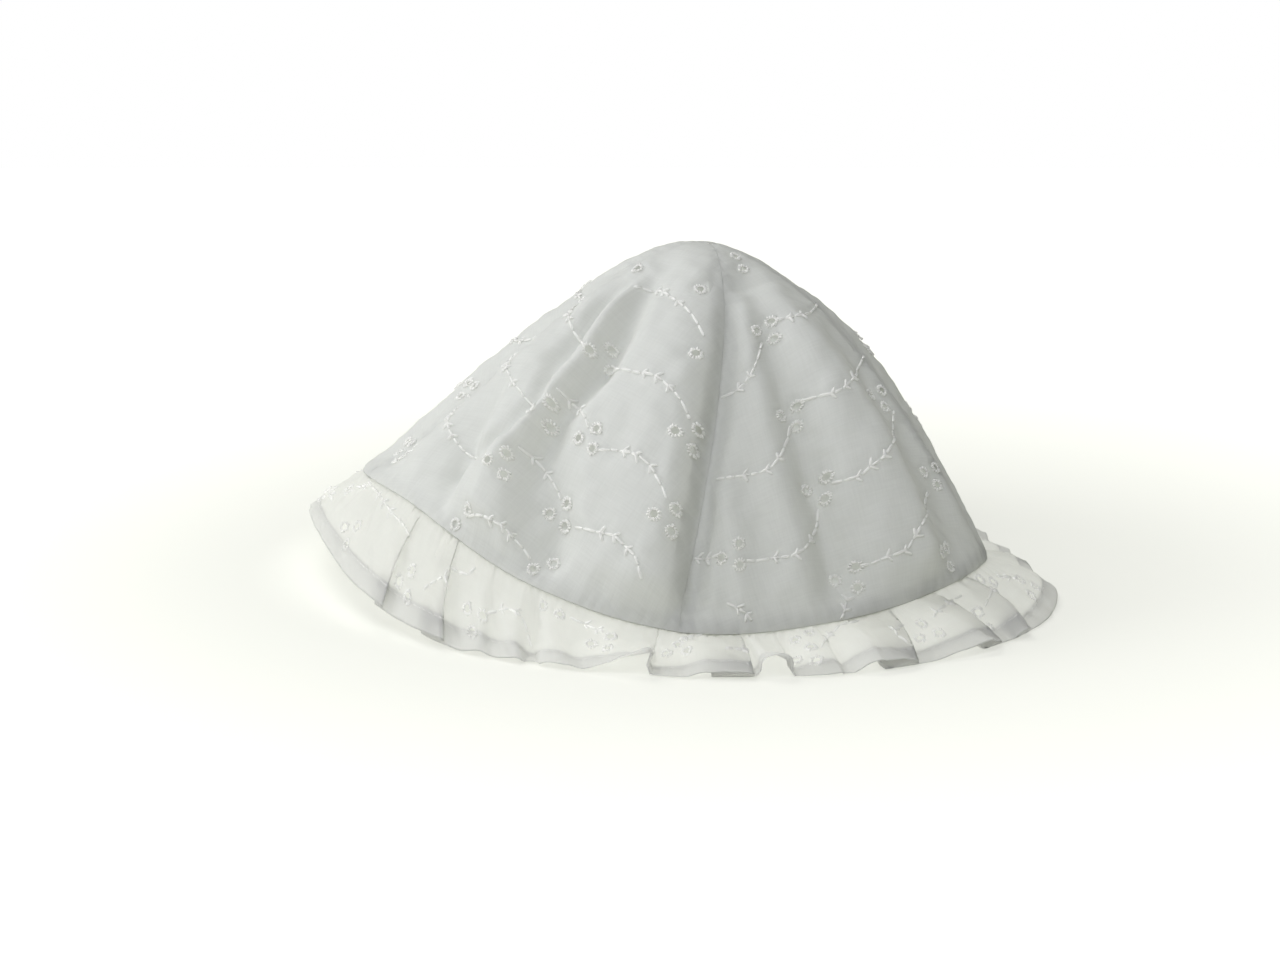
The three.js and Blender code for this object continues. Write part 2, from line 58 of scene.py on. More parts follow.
# a fold's rise off the smooth crown, its half widths to the left and right, then its line down the
# crown, as the azimuth and share of the slant at each point
FOLDS = [
    (-6.8, 3.6, 5.0, [(15, 0.16), (14, 0.25), (10, 0.38), (5.5, 0.54), (3.5, 0.67), (1.5, 0.8),
        (-0.5, 1.4)]),
    (-2.6, 7, 16, [(14, 0.3), (11, 0.5), (8, 0.8), (6, 1.4)]),
    (11.5, 23, 11.3, [(-4, 0.25), (-4, 0.42), (-5, 0.55), (-5.5, 0.8), (-5, 1.26)]),
    (-6.5, 6, 6, [(-38, 0.1), (-32, 0.3), (-30, 0.42), (-33, 0.53), (-36, 0.63), (-36, 0.75),
        (-33, 0.95)]),
    (-8.5, 15, 9, [(-34, 0.6), (-31, 0.74), (-27, 0.87), (-25, 1.25)]),
    (4.8, 5, 5, [(-45, 0.2), (-41, 0.4), (-39.5, 0.55), (-42, 0.7), (-45, 0.82), (-45, 0.97)]),
    (-5.6, 4.5, 4, [(-53, 0.18), (-50, 0.4), (-49.5, 0.54), (-45, 0.62), (-47, 0.73), (-52, 0.8),
        (-58, 0.92)]),
    (-7.4, 11, 6.5, [(-63, 0.62), (-60, 0.76), (-56, 0.88), (-50, 1.06)]),
    (1.6, 10, 10, [(-64, 0.2), (-64, 0.62), (-66, 0.8), (-68, 1.0)]),
    (-4.6, 30, 22, [(-92, 0.2), (-88, 0.5), (-90, 1.25)]),
    (-2.0, 14, 14, [(86, 0.4), (84, 0.7), (81, 1.1)]),
    (1.6, 8, 8, [(62, 0.16), (62, 0.3), (62, 1.1)]),
    (-7.0, 6, 7, [(31, 0.1), (29, 0.25), (27, 0.34), (27, 0.56), (27.5, 0.75), (27, 0.97), (27, 1.4)]),
    (9.5, 17, 9, [(39, 0.2), (39.5, 0.33), (42, 0.52), (43.5, 0.7), (44, 0.9), (44, 1.24)]),
    (2.6, 10, 6, [(17, 0.3), (17, 0.5), (18, 0.6), (20, 0.75), (20, 1.1)]),
    (1.6, 9, 8, [(-8, 0.03), (-1, 0.24), (3, 0.4)]),
    (-1.6, 3.5, 4, [(5, 0.72), (7, 0.9), (8, 1.3)]),
    (9.5, 22, 25, [(-39, 0.5), (-39, 1.2)]),
    (5.5, 9, 11, [(8, 0.55), (8, 1.2)]),
    (-3.0, 8, 10, [(57, 0.3), (57, 0.7), (55, 1.2)]),
    (-1.8, 6, 6, [(68, 0.15), (68, 1.2)]),
    (2.8, 14, 14, [(86, 0.25), (90, 1.1)]),
    (-3.6, 12, 10, [(112, 0.3), (116, 1.2)]),
    (2.4, 9, 9, [(127, 0.4), (128, 1.2)]),
    (-2.2, 7, 7, [(142, 0.15), (138, 1.2)]),
    (3.4, 18, 10, [(162, 0.2), (160, 1.1)]),
    (-4.4, 8, 10, [(184, 0.3), (187, 1.3)]),
    (2.6, 8, 8, [(198, 0.45), (198, 1.2)]),
    (-2.2, 7, 7, [(214, 0.15), (209, 1.2)]),
    (3.2, 10, 16, [(234, 0.25), (232, 1.1)]),
    (-3.4, 11, 8, [(252, 0.3), (256, 1.1)]),
    (2.4, 8, 8, [(266, 0.4), (268, 1.1)]),
    (-2.4, 7, 7, [(284, 0.1), (279, 1.2)]),
]
# A fold is nearly full over most of its length, and its line is rounded this many times
FOLD_FULLNESS, LINE_ROUNDINGS = 0.75, 4
# A low soft peak beside the top: where, how high and how wide
PEAK, PEAK_RISE, PEAK_WIDTH = np.array([1.5, 0.0]), 3.2, 22.0
# The folds die out between these shares of the slant
CALM_FROM, CALM_TO = 0.90, 1.0
MERIDIAN_STEPS = 400


def smoothstep(value, low, high):
    """0 below low and 1 above high, with a smooth rise between them."""
    t = np.clip((value - low) / (high - low), 0, 1)
    return t * t * (3 - 2 * t)


def outward(azimuth):
    """The level direction of an azimuth."""
    angle = np.radians(azimuth)
    return np.stack([np.sin(angle), -np.cos(angle), np.zeros_like(angle)], -1)


def between(a, b, c, d, f):
    """The share f of the way from b to c, on a smooth curve through a, b, c and d."""
    bend = (2 * a - 5 * b + 4 * c - d) * f ** 2 + (3 * b - a - 3 * c + d) * f ** 3
    return b + 0.5 * ((c - a) * f + bend)


def around(rows, azimuth, column):
    """A table's value at any azimuth, as a closed smooth curve through its equally spaced rows."""
    values = rows[:, column]
    place = np.mod(azimuth, 360) / (360 / len(values))
    row = np.floor(place).astype(int)
    return between(*(values[(row + k) % len(values)] for k in (-1, 0, 1, 2)), place - row)


def ring_point(azimuth, radius_column, height_column):
    """A spot of the sewn edge or of the hem, by two columns of the rim's table."""
    point = outward(azimuth) * around(RIM, azimuth, radius_column)[..., None]
    point[..., 2] = around(RIM, azimuth, height_column)
    return point


def smooth_meridians(azimuths, shares):
    """The unfolded crown: cubic curves from the pole to the sewn edge, walked by their length."""
    edge = ring_point(azimuths, 1, 2)
    run = np.hypot(edge[:, 0] - POLE[0], edge[:, 1] - POLE[1])[:, None]
    fall = (POLE[2] - edge[:, 2])[:, None]
    shoulder, skirt, sag = (around(MERIDIANS, azimuths, column)[:, None] for column in (1, 2, 3))
    t = np.linspace(0, 1, MERIDIAN_STEPS + 1)[None, :]
    x = run * (3 * (1 - t) ** 2 * t * shoulder + 3 * (1 - t) * t ** 2 * skirt + t ** 3)
    z = -fall * (3 * (1 - t) * t ** 2 * sag + t ** 3)
    steps = np.hypot(np.diff(x, axis=1), np.diff(z, axis=1))
    walked = np.concatenate([np.zeros((len(azimuths), 1)), np.cumsum(steps, axis=1)], axis=1)
    points = np.empty((len(azimuths), len(shares), 3))
    for row, length in enumerate(walked[:, -1]):
        reach = np.interp(shares * length, walked[row], x[row])
        heading = (edge[row, :2] - POLE[:2]) / run[row]
        points[row, :, :2] = POLE[:2] + heading * reach[:, None]
        points[row, :, 2] = POLE[2] + np.interp(shares * length, walked[row], z[row])
    return points, walked[:, -1]


def unit(vectors):
    return vectors / np.maximum(np.linalg.norm(vectors, axis=-1, keepdims=True), 1e-12)


def fold_rises(folds):
    """How far the folds lift the cloth off the smooth crown, at each spot of its table."""
    plan = CROWN[..., :2] - POLE[:2]
    reach = np.hypot(plan[..., 0], plan[..., 1])
    to_peak = np.linalg.norm(CROWN[..., :2] - PEAK, axis=-1)
    rises = PEAK_RISE * np.exp(-(to_peak / PEAK_WIDTH) ** 2)
    for rise, left_width, right_width, line in folds:
        azimuths, shares = np.array(line).T
        along = np.clip((SHARES - shares[0]) / (shares[-1] - shares[0]), 0, 1)
        middle = np.interp(SHARES, shares, azimuths)
        for _ in range(LINE_ROUNDINGS):
            middle[1:-1] = (middle[:-2] + 2 * middle[1:-1] + middle[2:]) / 4
        turn = np.mod(AZIMUTHS[:, None] - middle + 180, 360) - 180
        across = np.radians(turn) * reach
        width = np.where(across < 0, left_width, right_width)
        rises += rise * np.sin(np.pi * along) ** FOLD_FULLNESS * np.exp(-(across / width) ** 2)
    return rises * (1 - smoothstep(SHARES, CALM_FROM, CALM_TO))


# The folded crown as a table of points and of normals, which are read a little below the top,
# where all the meridians meet
PER_DEGREE, SHARE_STEPS = 2, 200
AZIMUTHS = np.arange(360 * PER_DEGREE) / PER_DEGREE
SHARES = np.linspace(0, 1, SHARE_STEPS + 1)
CROWN, LENGTHS = smooth_meridians(AZIMUTHS, SHARES)
probe = np.clip(np.arange(SHARE_STEPS + 1), 4, SHARE_STEPS - 2)
east = np.roll(CROWN, -1, axis=0) - np.roll(CROWN, 1, axis=0)
south = CROWN[:, probe + 2] - CROWN[:, probe - 2]
NORMALS = unit(np.cross(south, east[:, probe]))
FOLDED = CROWN + NORMALS * fold_rises(FOLDS)[..., None]
east = np.roll(FOLDED, -2, axis=0) - np.roll(FOLDED, 2, axis=0)
south = FOLDED[:, probe + 2] - FOLDED[:, probe - 2]
FOLDED_NORMALS = unit(np.cross(south, east[:, probe]))


def in_table(table, row, column):
    """A table's value between its rows, which may go on round to the first, and its columns."""
    r = np.floor(row).astype(int)
    c = np.clip(np.floor(column).astype(int), 0, table.shape[1] - 2)
    past_row, past_column = row - r, column - c
    if table.ndim == 3:
        past_row, past_column = past_row[..., None], past_column[..., None]
    r, after = r % len(table), (r + 1) % len(table)
    near = table[r, c] * (1 - past_column) + table[r, c + 1] * past_column
    far = table[after, c] * (1 - past_column) + table[after, c + 1] * past_column
    return near * (1 - past_row) + far * past_row


def on_crown(table, azimuth, share):
    """A value of one of the crown's tables at any azimuth and share of the slant."""
    return in_table(table, np.mod(azimuth, 360) * PER_DEGREE, np.clip(share, 0, 1) * SHARE_STEPS)


def crown_cloth(azimuth, share, depth):
    """A spot of the folded crown, depth mm under its outer face."""
    return on_crown(FOLDED, azimuth, share) - on_crown(FOLDED_NORMALS, azimuth, share) * depth[..., None]


# Azimuths of the seams at the top, half way and at the edge. Each gore lies between a seam and the next
SEAMS = np.array([[18, 6.6, -1], [76, 64, 68], [148, 139, 138], [220, 211, 209], [290, 282, 278]])
GORES = ["gore_front_right", "gore_right", "gore_back", "gore_left", "gore_front_left"]
SIDE_ALLOWANCE, EDGE_ALLOWANCE = 5.0, 5.0


def seam_azimuth(seam, share):
    """Where a seam runs. Seam 5 is the first one again, once round the hat."""
    top, middle, bottom = SEAMS[seam % 5]
    upper = top * (1 - share) * (1 - 2 * share) + middle * 4 * share * (1 - share)
    return upper + bottom * share * (2 * share - 1) + (360 if seam >= 5 else 0)


def gore_sizes(gore):
    """The gore's slant along its middle, and its width at each share of the slant."""
    left, right = seam_azimuth(gore, SHARES), seam_azimuth(gore + 1, SHARES)
    steps = 8
    line = [on_crown(CROWN, left + (right - left) * k / steps, SHARES) for k in range(steps + 1)]
    widths = sum(np.linalg.norm(line[k + 1] - line[k], axis=-1) for k in range(steps))
    middle = (seam_azimuth(gore, 1.0) + seam_azimuth(gore + 1, 1.0)) / 2
    return float(np.interp(middle % 360, AZIMUTHS, LENGTHS)), widths


def waves(x, y, length, count, seed):
    """A smooth random field about 1 high, whose bumps are about length apart."""
    random = np.random.default_rng(seed)
    heading = random.uniform(0, 2 * np.pi, count)
    rate = 2 * np.pi / (length * random.uniform(0.7, 1.5, count))
    phase = random.uniform(0, 2 * np.pi, count)
    field = np.zeros(np.shape(x))
    for h, r, p in zip(heading, rate, phase):
        field += np.sin(r * (np.cos(h) * x + np.sin(h) * y) + p)
    return field / np.sqrt(count)


# The cloth's depth under the crown's outer skin, how much deeper its allowance lies, and how far it
# takes to turn under. The cloth also rolls under at the seams and the edge: how deep and how wide
CLOTH_DEPTH, ALLOWANCE_DEPTH, TURN_LENGTH = 0.3, 0.6, 0.8
SEAM_ROLL, SEAM_ROLL_WIDTH = 0.15, 2.2
EDGE_ROLL, EDGE_ROLL_WIDTH = 0.5, 1.4
# Puckers along the stitching: how far apart, over what length that drifts, how high and how wide
SEAM_PUCKERS = (6.8, 38, 0.22, 4.5)
EDGE_PUCKERS = (5.6, 33, 0.25, 5.0)
# Wrinkles: how high and how far apart. They fade by the edge, the tip and the seams
BROAD_WRINKLE, BROAD_SPACING = 0.36, 17
FINE_WRINKLE, FINE_SPACING = 0.16, 7.5
# Each gore's tip ends just short of the crown's top
TIP_SHARE = 0.004
SIZES = [gore_sizes(gore) for gore in range(len(GORES))]


def puckers(kind, along, away, seed):
    """Small rises and dips beside a line of stitching, along mm down it and away mm from it."""
    spacing, drift, height, spread = kind
    turns = along / spacing + 0.5 * waves(along, along * 0, drift, 3, seed)
    return height * np.exp(-away / spread) * np.sin(2 * np.pi * turns) * smoothstep(away, 0, 1.5)


def on_gore(gore, flat, lift):
    """Where a spot of the flat gore lies on the hat, lift mm above the cloth. A spot past a seam or
    past the sewn edge is in the allowance, which is turned under."""
    slant, widths = SIZES[gore]
    across, down = flat[:, 0], flat[:, 1]
    reach = np.hypot(across, down)
    under_edge = np.maximum(reach - slant, 0)
    share = np.clip((reach - 2 * under_edge) / slant, TIP_SHARE, 1)
    half = np.interp(share, SHARES, widths) / 2
    out = np.arctan2(across, down) * reach
    under_side = np.maximum(np.abs(out) - half, 0)
    side = np.sign(out) * (np.abs(out) - 2 * under_side) / half
    left, right = seam_azimuth(gore, share), seam_azimuth(gore + 1, share)
    azimuth = left + (right - left) * (side + 1) / 2
    to_seam = half * (1 - np.abs(side))
    to_edge = slant * (1 - share)
    turned = smoothstep(np.maximum(under_edge, under_side), 0.0, TURN_LENGTH)
    depth = CLOTH_DEPTH + ALLOWANCE_DEPTH * turned
    depth += SEAM_ROLL * np.exp(-(to_seam / SEAM_ROLL_WIDTH) ** 2)
    depth += EDGE_ROLL * np.exp(-(to_edge / EDGE_ROLL_WIDTH) ** 2)
    depth += puckers(SEAM_PUCKERS, reach, to_seam, 11 + gore)
    depth += puckers(EDGE_PUCKERS, out, to_edge, 21 + gore)
    calm = smoothstep(to_edge, 0, 12) * smoothstep(reach, 4, 25) * smoothstep(to_seam, 0, 4)
    depth -= BROAD_WRINKLE * calm * waves(across, down * 0.6, BROAD_SPACING, 9, 31 + gore)
    depth -= FINE_WRINKLE * calm * waves(across, down, FINE_SPACING, 9, 41 + gore)
    return crown_cloth(azimuth, share, depth - lift)


# Eyelet flowers: across and down on each flat gore
FLOWERS = {
    0: [(-3, 18), (-10, 55.5), (-11.5, 91), (-8, 120), (-7, 154), (31, 89), (47, 120.5), (35.5, 154),
        (-46, 134)],
    1: [(-20.5, 65), (-21, 99), (-21, 133), (20, 82), (20, 116), (20, 150)],
    2: [(-35, 102), (-35, 136), (6, 50), (6, 84), (6, 118), (6, 152), (47, 136)],
    3: [(-38, 106), (-38, 140), (3, 55), (3, 89), (3, 123), (3, 157), (44, 106), (58, 137)],
    4: [(-18.5, 25.5), (20, 28.5), (36, 54), (0.6, 70.5), (47.4, 82), (18.8, 101.2), (-2.6, 101.5),
        (57.5, 109), (-3.6, 126.2), (22, 128.2), (-7.5, 151), (28.8, 147.6), (-66, 125)],
}
# How far each gore's flowers are turned, in degrees
FLOWER_TURNS = [-13, 0, 0, 0, 24]
# An eyelet's hole, and how far its middle is from its flower's
EYELET_RADIUS, EYELET_SPREAD, EYELET_SIDES = 1.35, 4.25, 20
# An eyelet's middle keeps this far from the seams, and from a line close by the sewn edge
EYELET_ROOM = 2.6
EDGE_LINE_SHARE, EDGE_LINE_DROP = 0.975, 3.0

# Stems, each from one flower to the next column's: gore, then the points that it passes
STEMS = [
    (0, [(-5.4, 52.6), (-1.8, 54.4), (3, 55.6), (11, 52.6), (19, 47), (31, 37)]),
    (0, [(-7.2, 86.8), (-3, 88.6), (1.2, 90.4), (6.6, 89.2), (11.4, 86.2), (19, 81.5), (27.6, 74.8),
        (40, 62)]),
    (0, [(-4.2, 119.8), (-0.6, 121), (3, 121.6), (7.8, 119.2), (12.6, 117.4), (21, 110.2), (31, 103.5),
        (37, 94)]),
    (0, [(-3, 151), (1.2, 151.6), (6, 151), (12, 151), (16.8, 146.8), (21, 142.6), (31, 135.5),
        (42, 127)]),
    (0, [(-34.2, 73), (-28.8, 74.2), (-23.4, 71.8), (-18, 66.4), (-13.8, 59.8)]),
    (0, [(-44.4, 104.2), (-40.8, 106), (-35.4, 107.2), (-27.6, 109), (-22.2, 106.6), (-15.6, 99.4),
        (-12.6, 94)]),
    (0, [(-42, 137.2), (-38.4, 138.4), (-32.4, 139.6), (-25.2, 141.4), (-18, 137.8), (-11.4, 131.2),
        (-9, 125)]),
    (0, [(-61, 127.5), (-58.2, 128.8), (-55.2, 130.6), (-52.8, 131.2), (-49.2, 131.2)]),
    (0, [(-16.2, 167.2), (-13.2, 164.2), (-10.2, 160.2)]),
    (0, [(-52.8, 148.6), (-49.8, 151.6), (-47.4, 154.6), (-46.2, 157.6)]),
    (4, [(8.6, 74.2), (15, 73), (22.2, 71.8), (27, 70.6), (33, 71.8), (37.8, 73), (41.4, 74.8),
        (44.4, 77.2)]),
    (4, [(24.6, 103), (28.2, 100.6), (33, 98.8), (37.8, 97.6), (43.8, 98.2), (48, 100.6), (52.2, 102.4),
        (54.6, 104.8)]),
    (4, [(30, 129.4), (36, 127.6), (41.4, 125.8), (46.2, 124), (52.2, 125.2), (56.4, 125.8),
        (59.4, 128.2), (61.8, 130.6)]),
    (4, [(-34, 46), (-30.6, 54.4), (-25.4, 60), (-19.8, 65.2), (-11, 70), (-4, 72.6)]),
    (4, [(-2.6, 91.8), (1.2, 92.2), (6, 92.8), (14.4, 96.4), (16.8, 98.8)]),
    (4, [(-2, 117.2), (2.4, 116.8), (8.4, 118.6), (15.6, 121.6), (19.8, 124.4)]),
    (4, [(-44, 72), (-42.4, 78), (-39.5, 84), (-36.6, 87.4), (-27, 94.6), (-21, 97), (-15, 99.4),
        (-6, 101.6)]),
    (4, [(-62, 95), (-57.5, 101), (-52.5, 108.5), (-48, 114.4), (-43.2, 119.2), (-35.4, 124),
        (-30.6, 125.2), (-20, 127.5)]),
    (4, [(-6, 148.6), (0, 145.6), (4, 145.2), (9, 143.8), (12, 144.4), (15, 145), (18, 145.6),
        (22.8, 147.4)]),
    (4, [(-8.4, 38.8), (-4.8, 36.4), (0.6, 35.8), (4.2, 36.4), (13.8, 40), (22.8, 43.6), (25.8, 45.4),
        (31, 48.6)]),
]
# Where the pattern can't be seen in detail it repeats the same stem beside every flower
PLAIN_STEM = [(6, -1), (11, -1.5), (16.5, -2), (23, -4.5), (29, -9), (33, -15), (34.5, -20)]


def flower_eyelets(gore):
    """Each flower has one eyelet to its left and two to its right, above and below."""
    centres = []
    for middle in FLOWERS[gore]:
        for angle in np.radians(FLOWER_TURNS[gore] + np.array([0, 120, 240])):
            spot = middle + EYELET_SPREAD * np.array([-np.cos(angle), np.sin(angle)])
            if room_round(gore, spot) > EYELET_ROOM:
                centres.append(spot)
    return np.array(centres)


def room_round(gore, spot):
    """How far a spot of the flat gore is inside its seams and the line by its sewn edge."""
    slant, widths = SIZES[gore]
    reach = np.hypot(*spot)
    half = np.interp(reach / slant, SHARES, widths) / 2
    to_edge_line = slant * EDGE_LINE_SHARE + EDGE_LINE_DROP - reach
    return min(half - abs(np.arctan2(*spot) * reach), to_edge_line)


def clear_of(centres, points, radius):
    """Which points are further than the radius from every centre."""
    keep = np.ones(len(points), bool)
    for centre in centres:
        keep &= np.hypot(*(points - centre).T) > radius
    return keep


def cut_cloth(points, holes):
    """Triangles between the points of a flat piece of cloth, with edges all round each hole. It gives
    the points, the triangles, the holes' own ones too, and the triangles' middles."""
    verts = [tuple(point) for point in points]
    edges = []
    for spots in holes:
        first = len(verts)
        verts += [tuple(spot) for spot in spots]
        edges += [(first + k, first + (k + 1) % len(spots)) for k in range(len(spots))]
    flat, _, faces, *_ = delaunay_2d_cdt(verts, edges, [], 0, 1e-4, False)
    flat, faces = np.array(flat), np.array(faces)
    return flat, faces, flat[faces].mean(axis=1)


def circle(centre, radius, sides=EYELET_SIDES):
    angle = np.linspace(0, 2 * np.pi, sides, endpoint=False)
    return centre + radius * np.stack([np.cos(angle), np.sin(angle)], -1)


# The cloth's points lie this far apart, and closer by the seams and the edge, at these distances
# inside and outside them. Those in a side's allowance are given as shares of its width
CLOTH_STEP = 1.08
INSIDE_EDGE = np.array([1.6, 1.0, 0.45, 0])
PAST_EDGE = np.array([0.3, 0.8, 2.2, 3.6, EDGE_ALLOWANCE])
INSIDE_SEAM = (0.0, 0.12, 0.5, 1.0, 1.8)
PAST_SEAM = np.array([0.08, 0.2, 0.6, 1.0])
# No point of the cloth is nearer an eyelet's edge than this, and a triangle whose middle is within
# this share of the radius is cut out
EYELET_CLEAR, EYELET_CUT = 0.45, 0.97
ROUNDING = 0.01


def cut_gore(gore):
    """The flat gore with its allowances and eyelets, in rows that lie closer by the seams and edge."""
    slant, widths = SIZES[gore]
    rows = np.concatenate([np.arange(1.0, slant - 2.2, CLOTH_STEP), slant - INSIDE_EDGE, slant + PAST_EDGE])
    points, limits = [], []
    for reach in rows:
        inner = min(reach, 2 * slant - reach)
        half = np.interp(inner / slant, SHARES, widths) / 2
        allowance = min(SIDE_ALLOWANCE, 0.3 * half)
        limits.append(half + allowance)
        by_seam = np.array([k for k in INSIDE_SEAM if k < 0.6 * half])
        body = [0.0]
        if half > 2.6:
            body = np.linspace(0, half - by_seam[-1] - 0.9, max(2, round(half / CLOTH_STEP)))
        side = np.concatenate([body[1:], half - by_seam[::-1], half + allowance * PAST_SEAM])
        out = np.concatenate([-side[::-1], [0.0], side])
        angle = out / reach
        points.append(np.stack([reach * np.sin(angle), reach * np.cos(angle)], -1))
    points = np.concatenate(points)
    centres = flower_eyelets(gore)
    points = points[clear_of(centres, points, EYELET_RADIUS + EYELET_CLEAR)]
    flat, faces, middles = cut_cloth(points, [circle(centre, EYELET_RADIUS) for centre in centres])
    reach = np.hypot(*middles.T)
    out = np.abs(np.arctan2(*middles.T) * reach)
    inside = out < np.interp(reach, rows, limits) + 2 * ROUNDING
    inside &= (reach > rows[0] - ROUNDING) & (reach < rows[-1] + ROUNDING)
    inside &= clear_of(centres, middles, EYELET_RADIUS * EYELET_CUT)
    return flat, faces[inside], centres


def linear(colour):
    """An sRGB hex colour as the linear one that a shader takes."""
    channels = [int(colour[k:k + 2], 16) / 255 for k in (0, 2, 4)]
    return (*[c / 12.92 if c <= 0.04045 else ((c + 0.055) / 1.055) ** 2.4 for c in channels], 1)


def add_node(tree, kind, inputs=None, **settings):
    """Adds a node with its settings. An input is a value or another node's output socket."""
    node = tree.nodes.new(kind)
    for name, value in settings.items():
        setattr(node, name, value)
    for name, value in (inputs or {}).items():
        if isinstance(value, bpy.types.NodeSocket):
            tree.links.new(value, node.inputs[name])
        else:
            node.inputs[name].default_value = value
    return node


# Streaks in the cloth, how wide and how long, and how far apart the twists of its thread are
STREAK_WIDE, STREAK_LONG, TWIST = 0.7, 9.0, 0.6


def new_material(name):
    """An empty material, and its node tree."""
    material = bpy.data.materials.new(name)
    material.use_nodes = True
    material.node_tree.nodes.clear()
    return material, material.node_tree


def woven_cotton(name, face, through, share_through, thread_depth, hem=None):
    """Bleached cotton lawn, plain woven: a matt white face that scatters light and glows when lit from
    behind. Its threads lie 0.3 mm apart, too fine to show, so their thick and thin stretches are
    drawn 0.7 mm wide and 9 mm long, as faint streaks both ways."""
    material, tree = new_material(name)
    flat = add_node(tree, "ShaderNodeTexCoord").outputs["UV"]
    fine, coarse = 1 / (STREAK_WIDE * MM), 1 / (STREAK_LONG * MM)
    warp_place = add_node(tree, "ShaderNodeMapping", {"Vector": flat, "Scale": (fine, coarse, 1)})
    weft_place = add_node(tree, "ShaderNodeMapping", {"Vector": flat, "Scale": (coarse, fine, 1)})
    warp = add_node(tree, "ShaderNodeTexNoise", {"Vector": warp_place.outputs[0], "Scale": 1, "Detail": 2})
    weft = add_node(tree, "ShaderNodeTexNoise", {"Vector": weft_place.outputs[0], "Scale": 1, "Detail": 2})
    threads = add_node(tree, "ShaderNodeMath", {
        0: warp.outputs["Fac"], 1: weft.outputs["Fac"]}, operation="ADD")
    bump = add_node(tree, "ShaderNodeBump", {
        "Height": threads.outputs[0], "Strength": thread_depth, "Distance": 0.3 * MM})
    density = add_node(tree, "ShaderNodeMapRange", {
        "Value": threads.outputs[0], "From Min": 0.6, "From Max": 1.4})
    faces = add_node(tree, "ShaderNodeMix", {"Factor": density.outputs[0]}, data_type="RGBA")
    faces.inputs["A"].default_value = linear(face[0])
    faces.inputs["B"].default_value = linear(face[1])
    cloth = add_node(tree, "ShaderNodeBsdfPrincipled", {
        "Base Color": faces.outputs["Result"], "Roughness": 0.85, "IOR": 1.45, "Metallic": 0.0,
        "Sheen Weight": 0.08, "Sheen Roughness": 0.5, "Normal": bump.outputs[0]})
    glow = add_node(tree, "ShaderNodeBsdfTranslucent", {"Color": linear(through), "Normal": bump.outputs[0]})
    if hem:
        # The hem is three layers thick, so that less light comes through it. On its top layer the light
        # through is also painted darker, as painted shade that makes it look greyer
        starts, hem_painted_through = hem
        down = add_node(tree, "ShaderNodeSeparateXYZ", {0: flat}).outputs["Y"]
        inside = add_node(tree, "ShaderNodeMapRange", {
            "Value": down, "From Min": (starts - 0.2) * MM, "From Max": (starts + 0.2) * MM})
        hem_painted_shade = add_node(tree, "ShaderNodeMix", {"Factor": inside.outputs[0]}, data_type="RGBA")
        hem_painted_shade.inputs["A"].default_value = linear(through)
        hem_painted_shade.inputs["B"].default_value = linear(hem_painted_through)
        tree.links.new(hem_painted_shade.outputs["Result"], glow.inputs["Color"])
    both = add_node(tree, "ShaderNodeMixShader", {0: share_through, 1: cloth.outputs[0], 2: glow.outputs[0]})
    add_node(tree, "ShaderNodeOutputMaterial", {"Surface": both.outputs[0]})
    return material


def mercerised_thread(name, colour):
    """Mercerised cotton embroidery thread, laid in close satin stitches: whiter than the cloth and a
    little glossy, so that single stitches catch the light."""
    material, tree = new_material(name)
    flat = add_node(tree, "ShaderNodeTexCoord").outputs["UV"]
    twist = add_node(tree, "ShaderNodeTexNoise", {"Vector": flat, "Scale": 1 / (TWIST * MM), "Detail": 1})
    bump = add_node(tree, "ShaderNodeBump", {
        "Height": twist.outputs["Fac"], "Strength": 0.5, "Distance": 0.2 * MM})
    thread = add_node(tree, "ShaderNodeBsdfPrincipled", {
        "Base Color": linear(colour), "Roughness": 0.2, "IOR": 1.6, "Specular IOR Level": 0.9,
        "Metallic": 0.0, "Sheen Weight": 0.1, "Normal": bump.outputs[0]})
    glow = add_node(tree, "ShaderNodeBsdfTranslucent", {"Color": linear(colour), "Normal": bump.outputs[0]})
    both = add_node(tree, "ShaderNodeMixShader", {0: 0.45, 1: thread.outputs[0], 2: glow.outputs[0]})
    add_node(tree, "ShaderNodeOutputMaterial", {"Surface": both.outputs[0]})
    return material


def make_piece(name, points, faces, flat, material):
    """A mesh from points in mm, whose UV map is the flat cloth in metres. It rides on the hat."""
    mesh = bpy.data.meshes.new(name)
    faces = [[int(corner) for corner in face] for face in faces]
    mesh.from_pydata(((points + TO_CENTRE) * MM).tolist(), [], faces)
    mesh.update()
    layer = mesh.uv_layers.new(name="flat_cloth")
    corners = np.array([loop.vertex_index for loop in mesh.loops])
    layer.data.foreach_set("uv", (flat[corners] * MM).ravel())
    mesh.polygons.foreach_set("use_smooth", [True] * len(mesh.polygons))
    mesh.materials.append(material)
    piece = bpy.data.objects.new(name, mesh)
    bpy.context.scene.collection.objects.link(piece)
    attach(piece, "root")
    return piece


# A stitch's cross-sections, as shares of its length and of its full size, then the corners of each,
# as shares of its half width and height
STITCH_SECTIONS = ((0.0, 0.3), (0.15, 0.9), (0.5, 1.0), (0.85, 0.9), (1.0, 0.3))
STITCH_CORNERS = ((-1.0, -0.1), (-0.5, 0.85), (0.5, 0.85), (1.0, -0.1))
# Where a stitch has no height it still has this share of its width, and dips this far into the cloth
STITCH_END, STITCH_DIP = 0.45, 0.05
# Tight stitches pull the cloth down: how deep and how wide
PULL_DEPTH, PULL_WIDTH = 0.45, 1.2
EYELET_STITCHES = 13
# Steps of a stem's smooth line between two of its points, and how far apart its spots then are
LINE_STEPS, STEM_STEP = 20, 0.5
# No stitch comes nearer than this to a seam or to the sewn edge
STITCH_MARGIN = 0.3


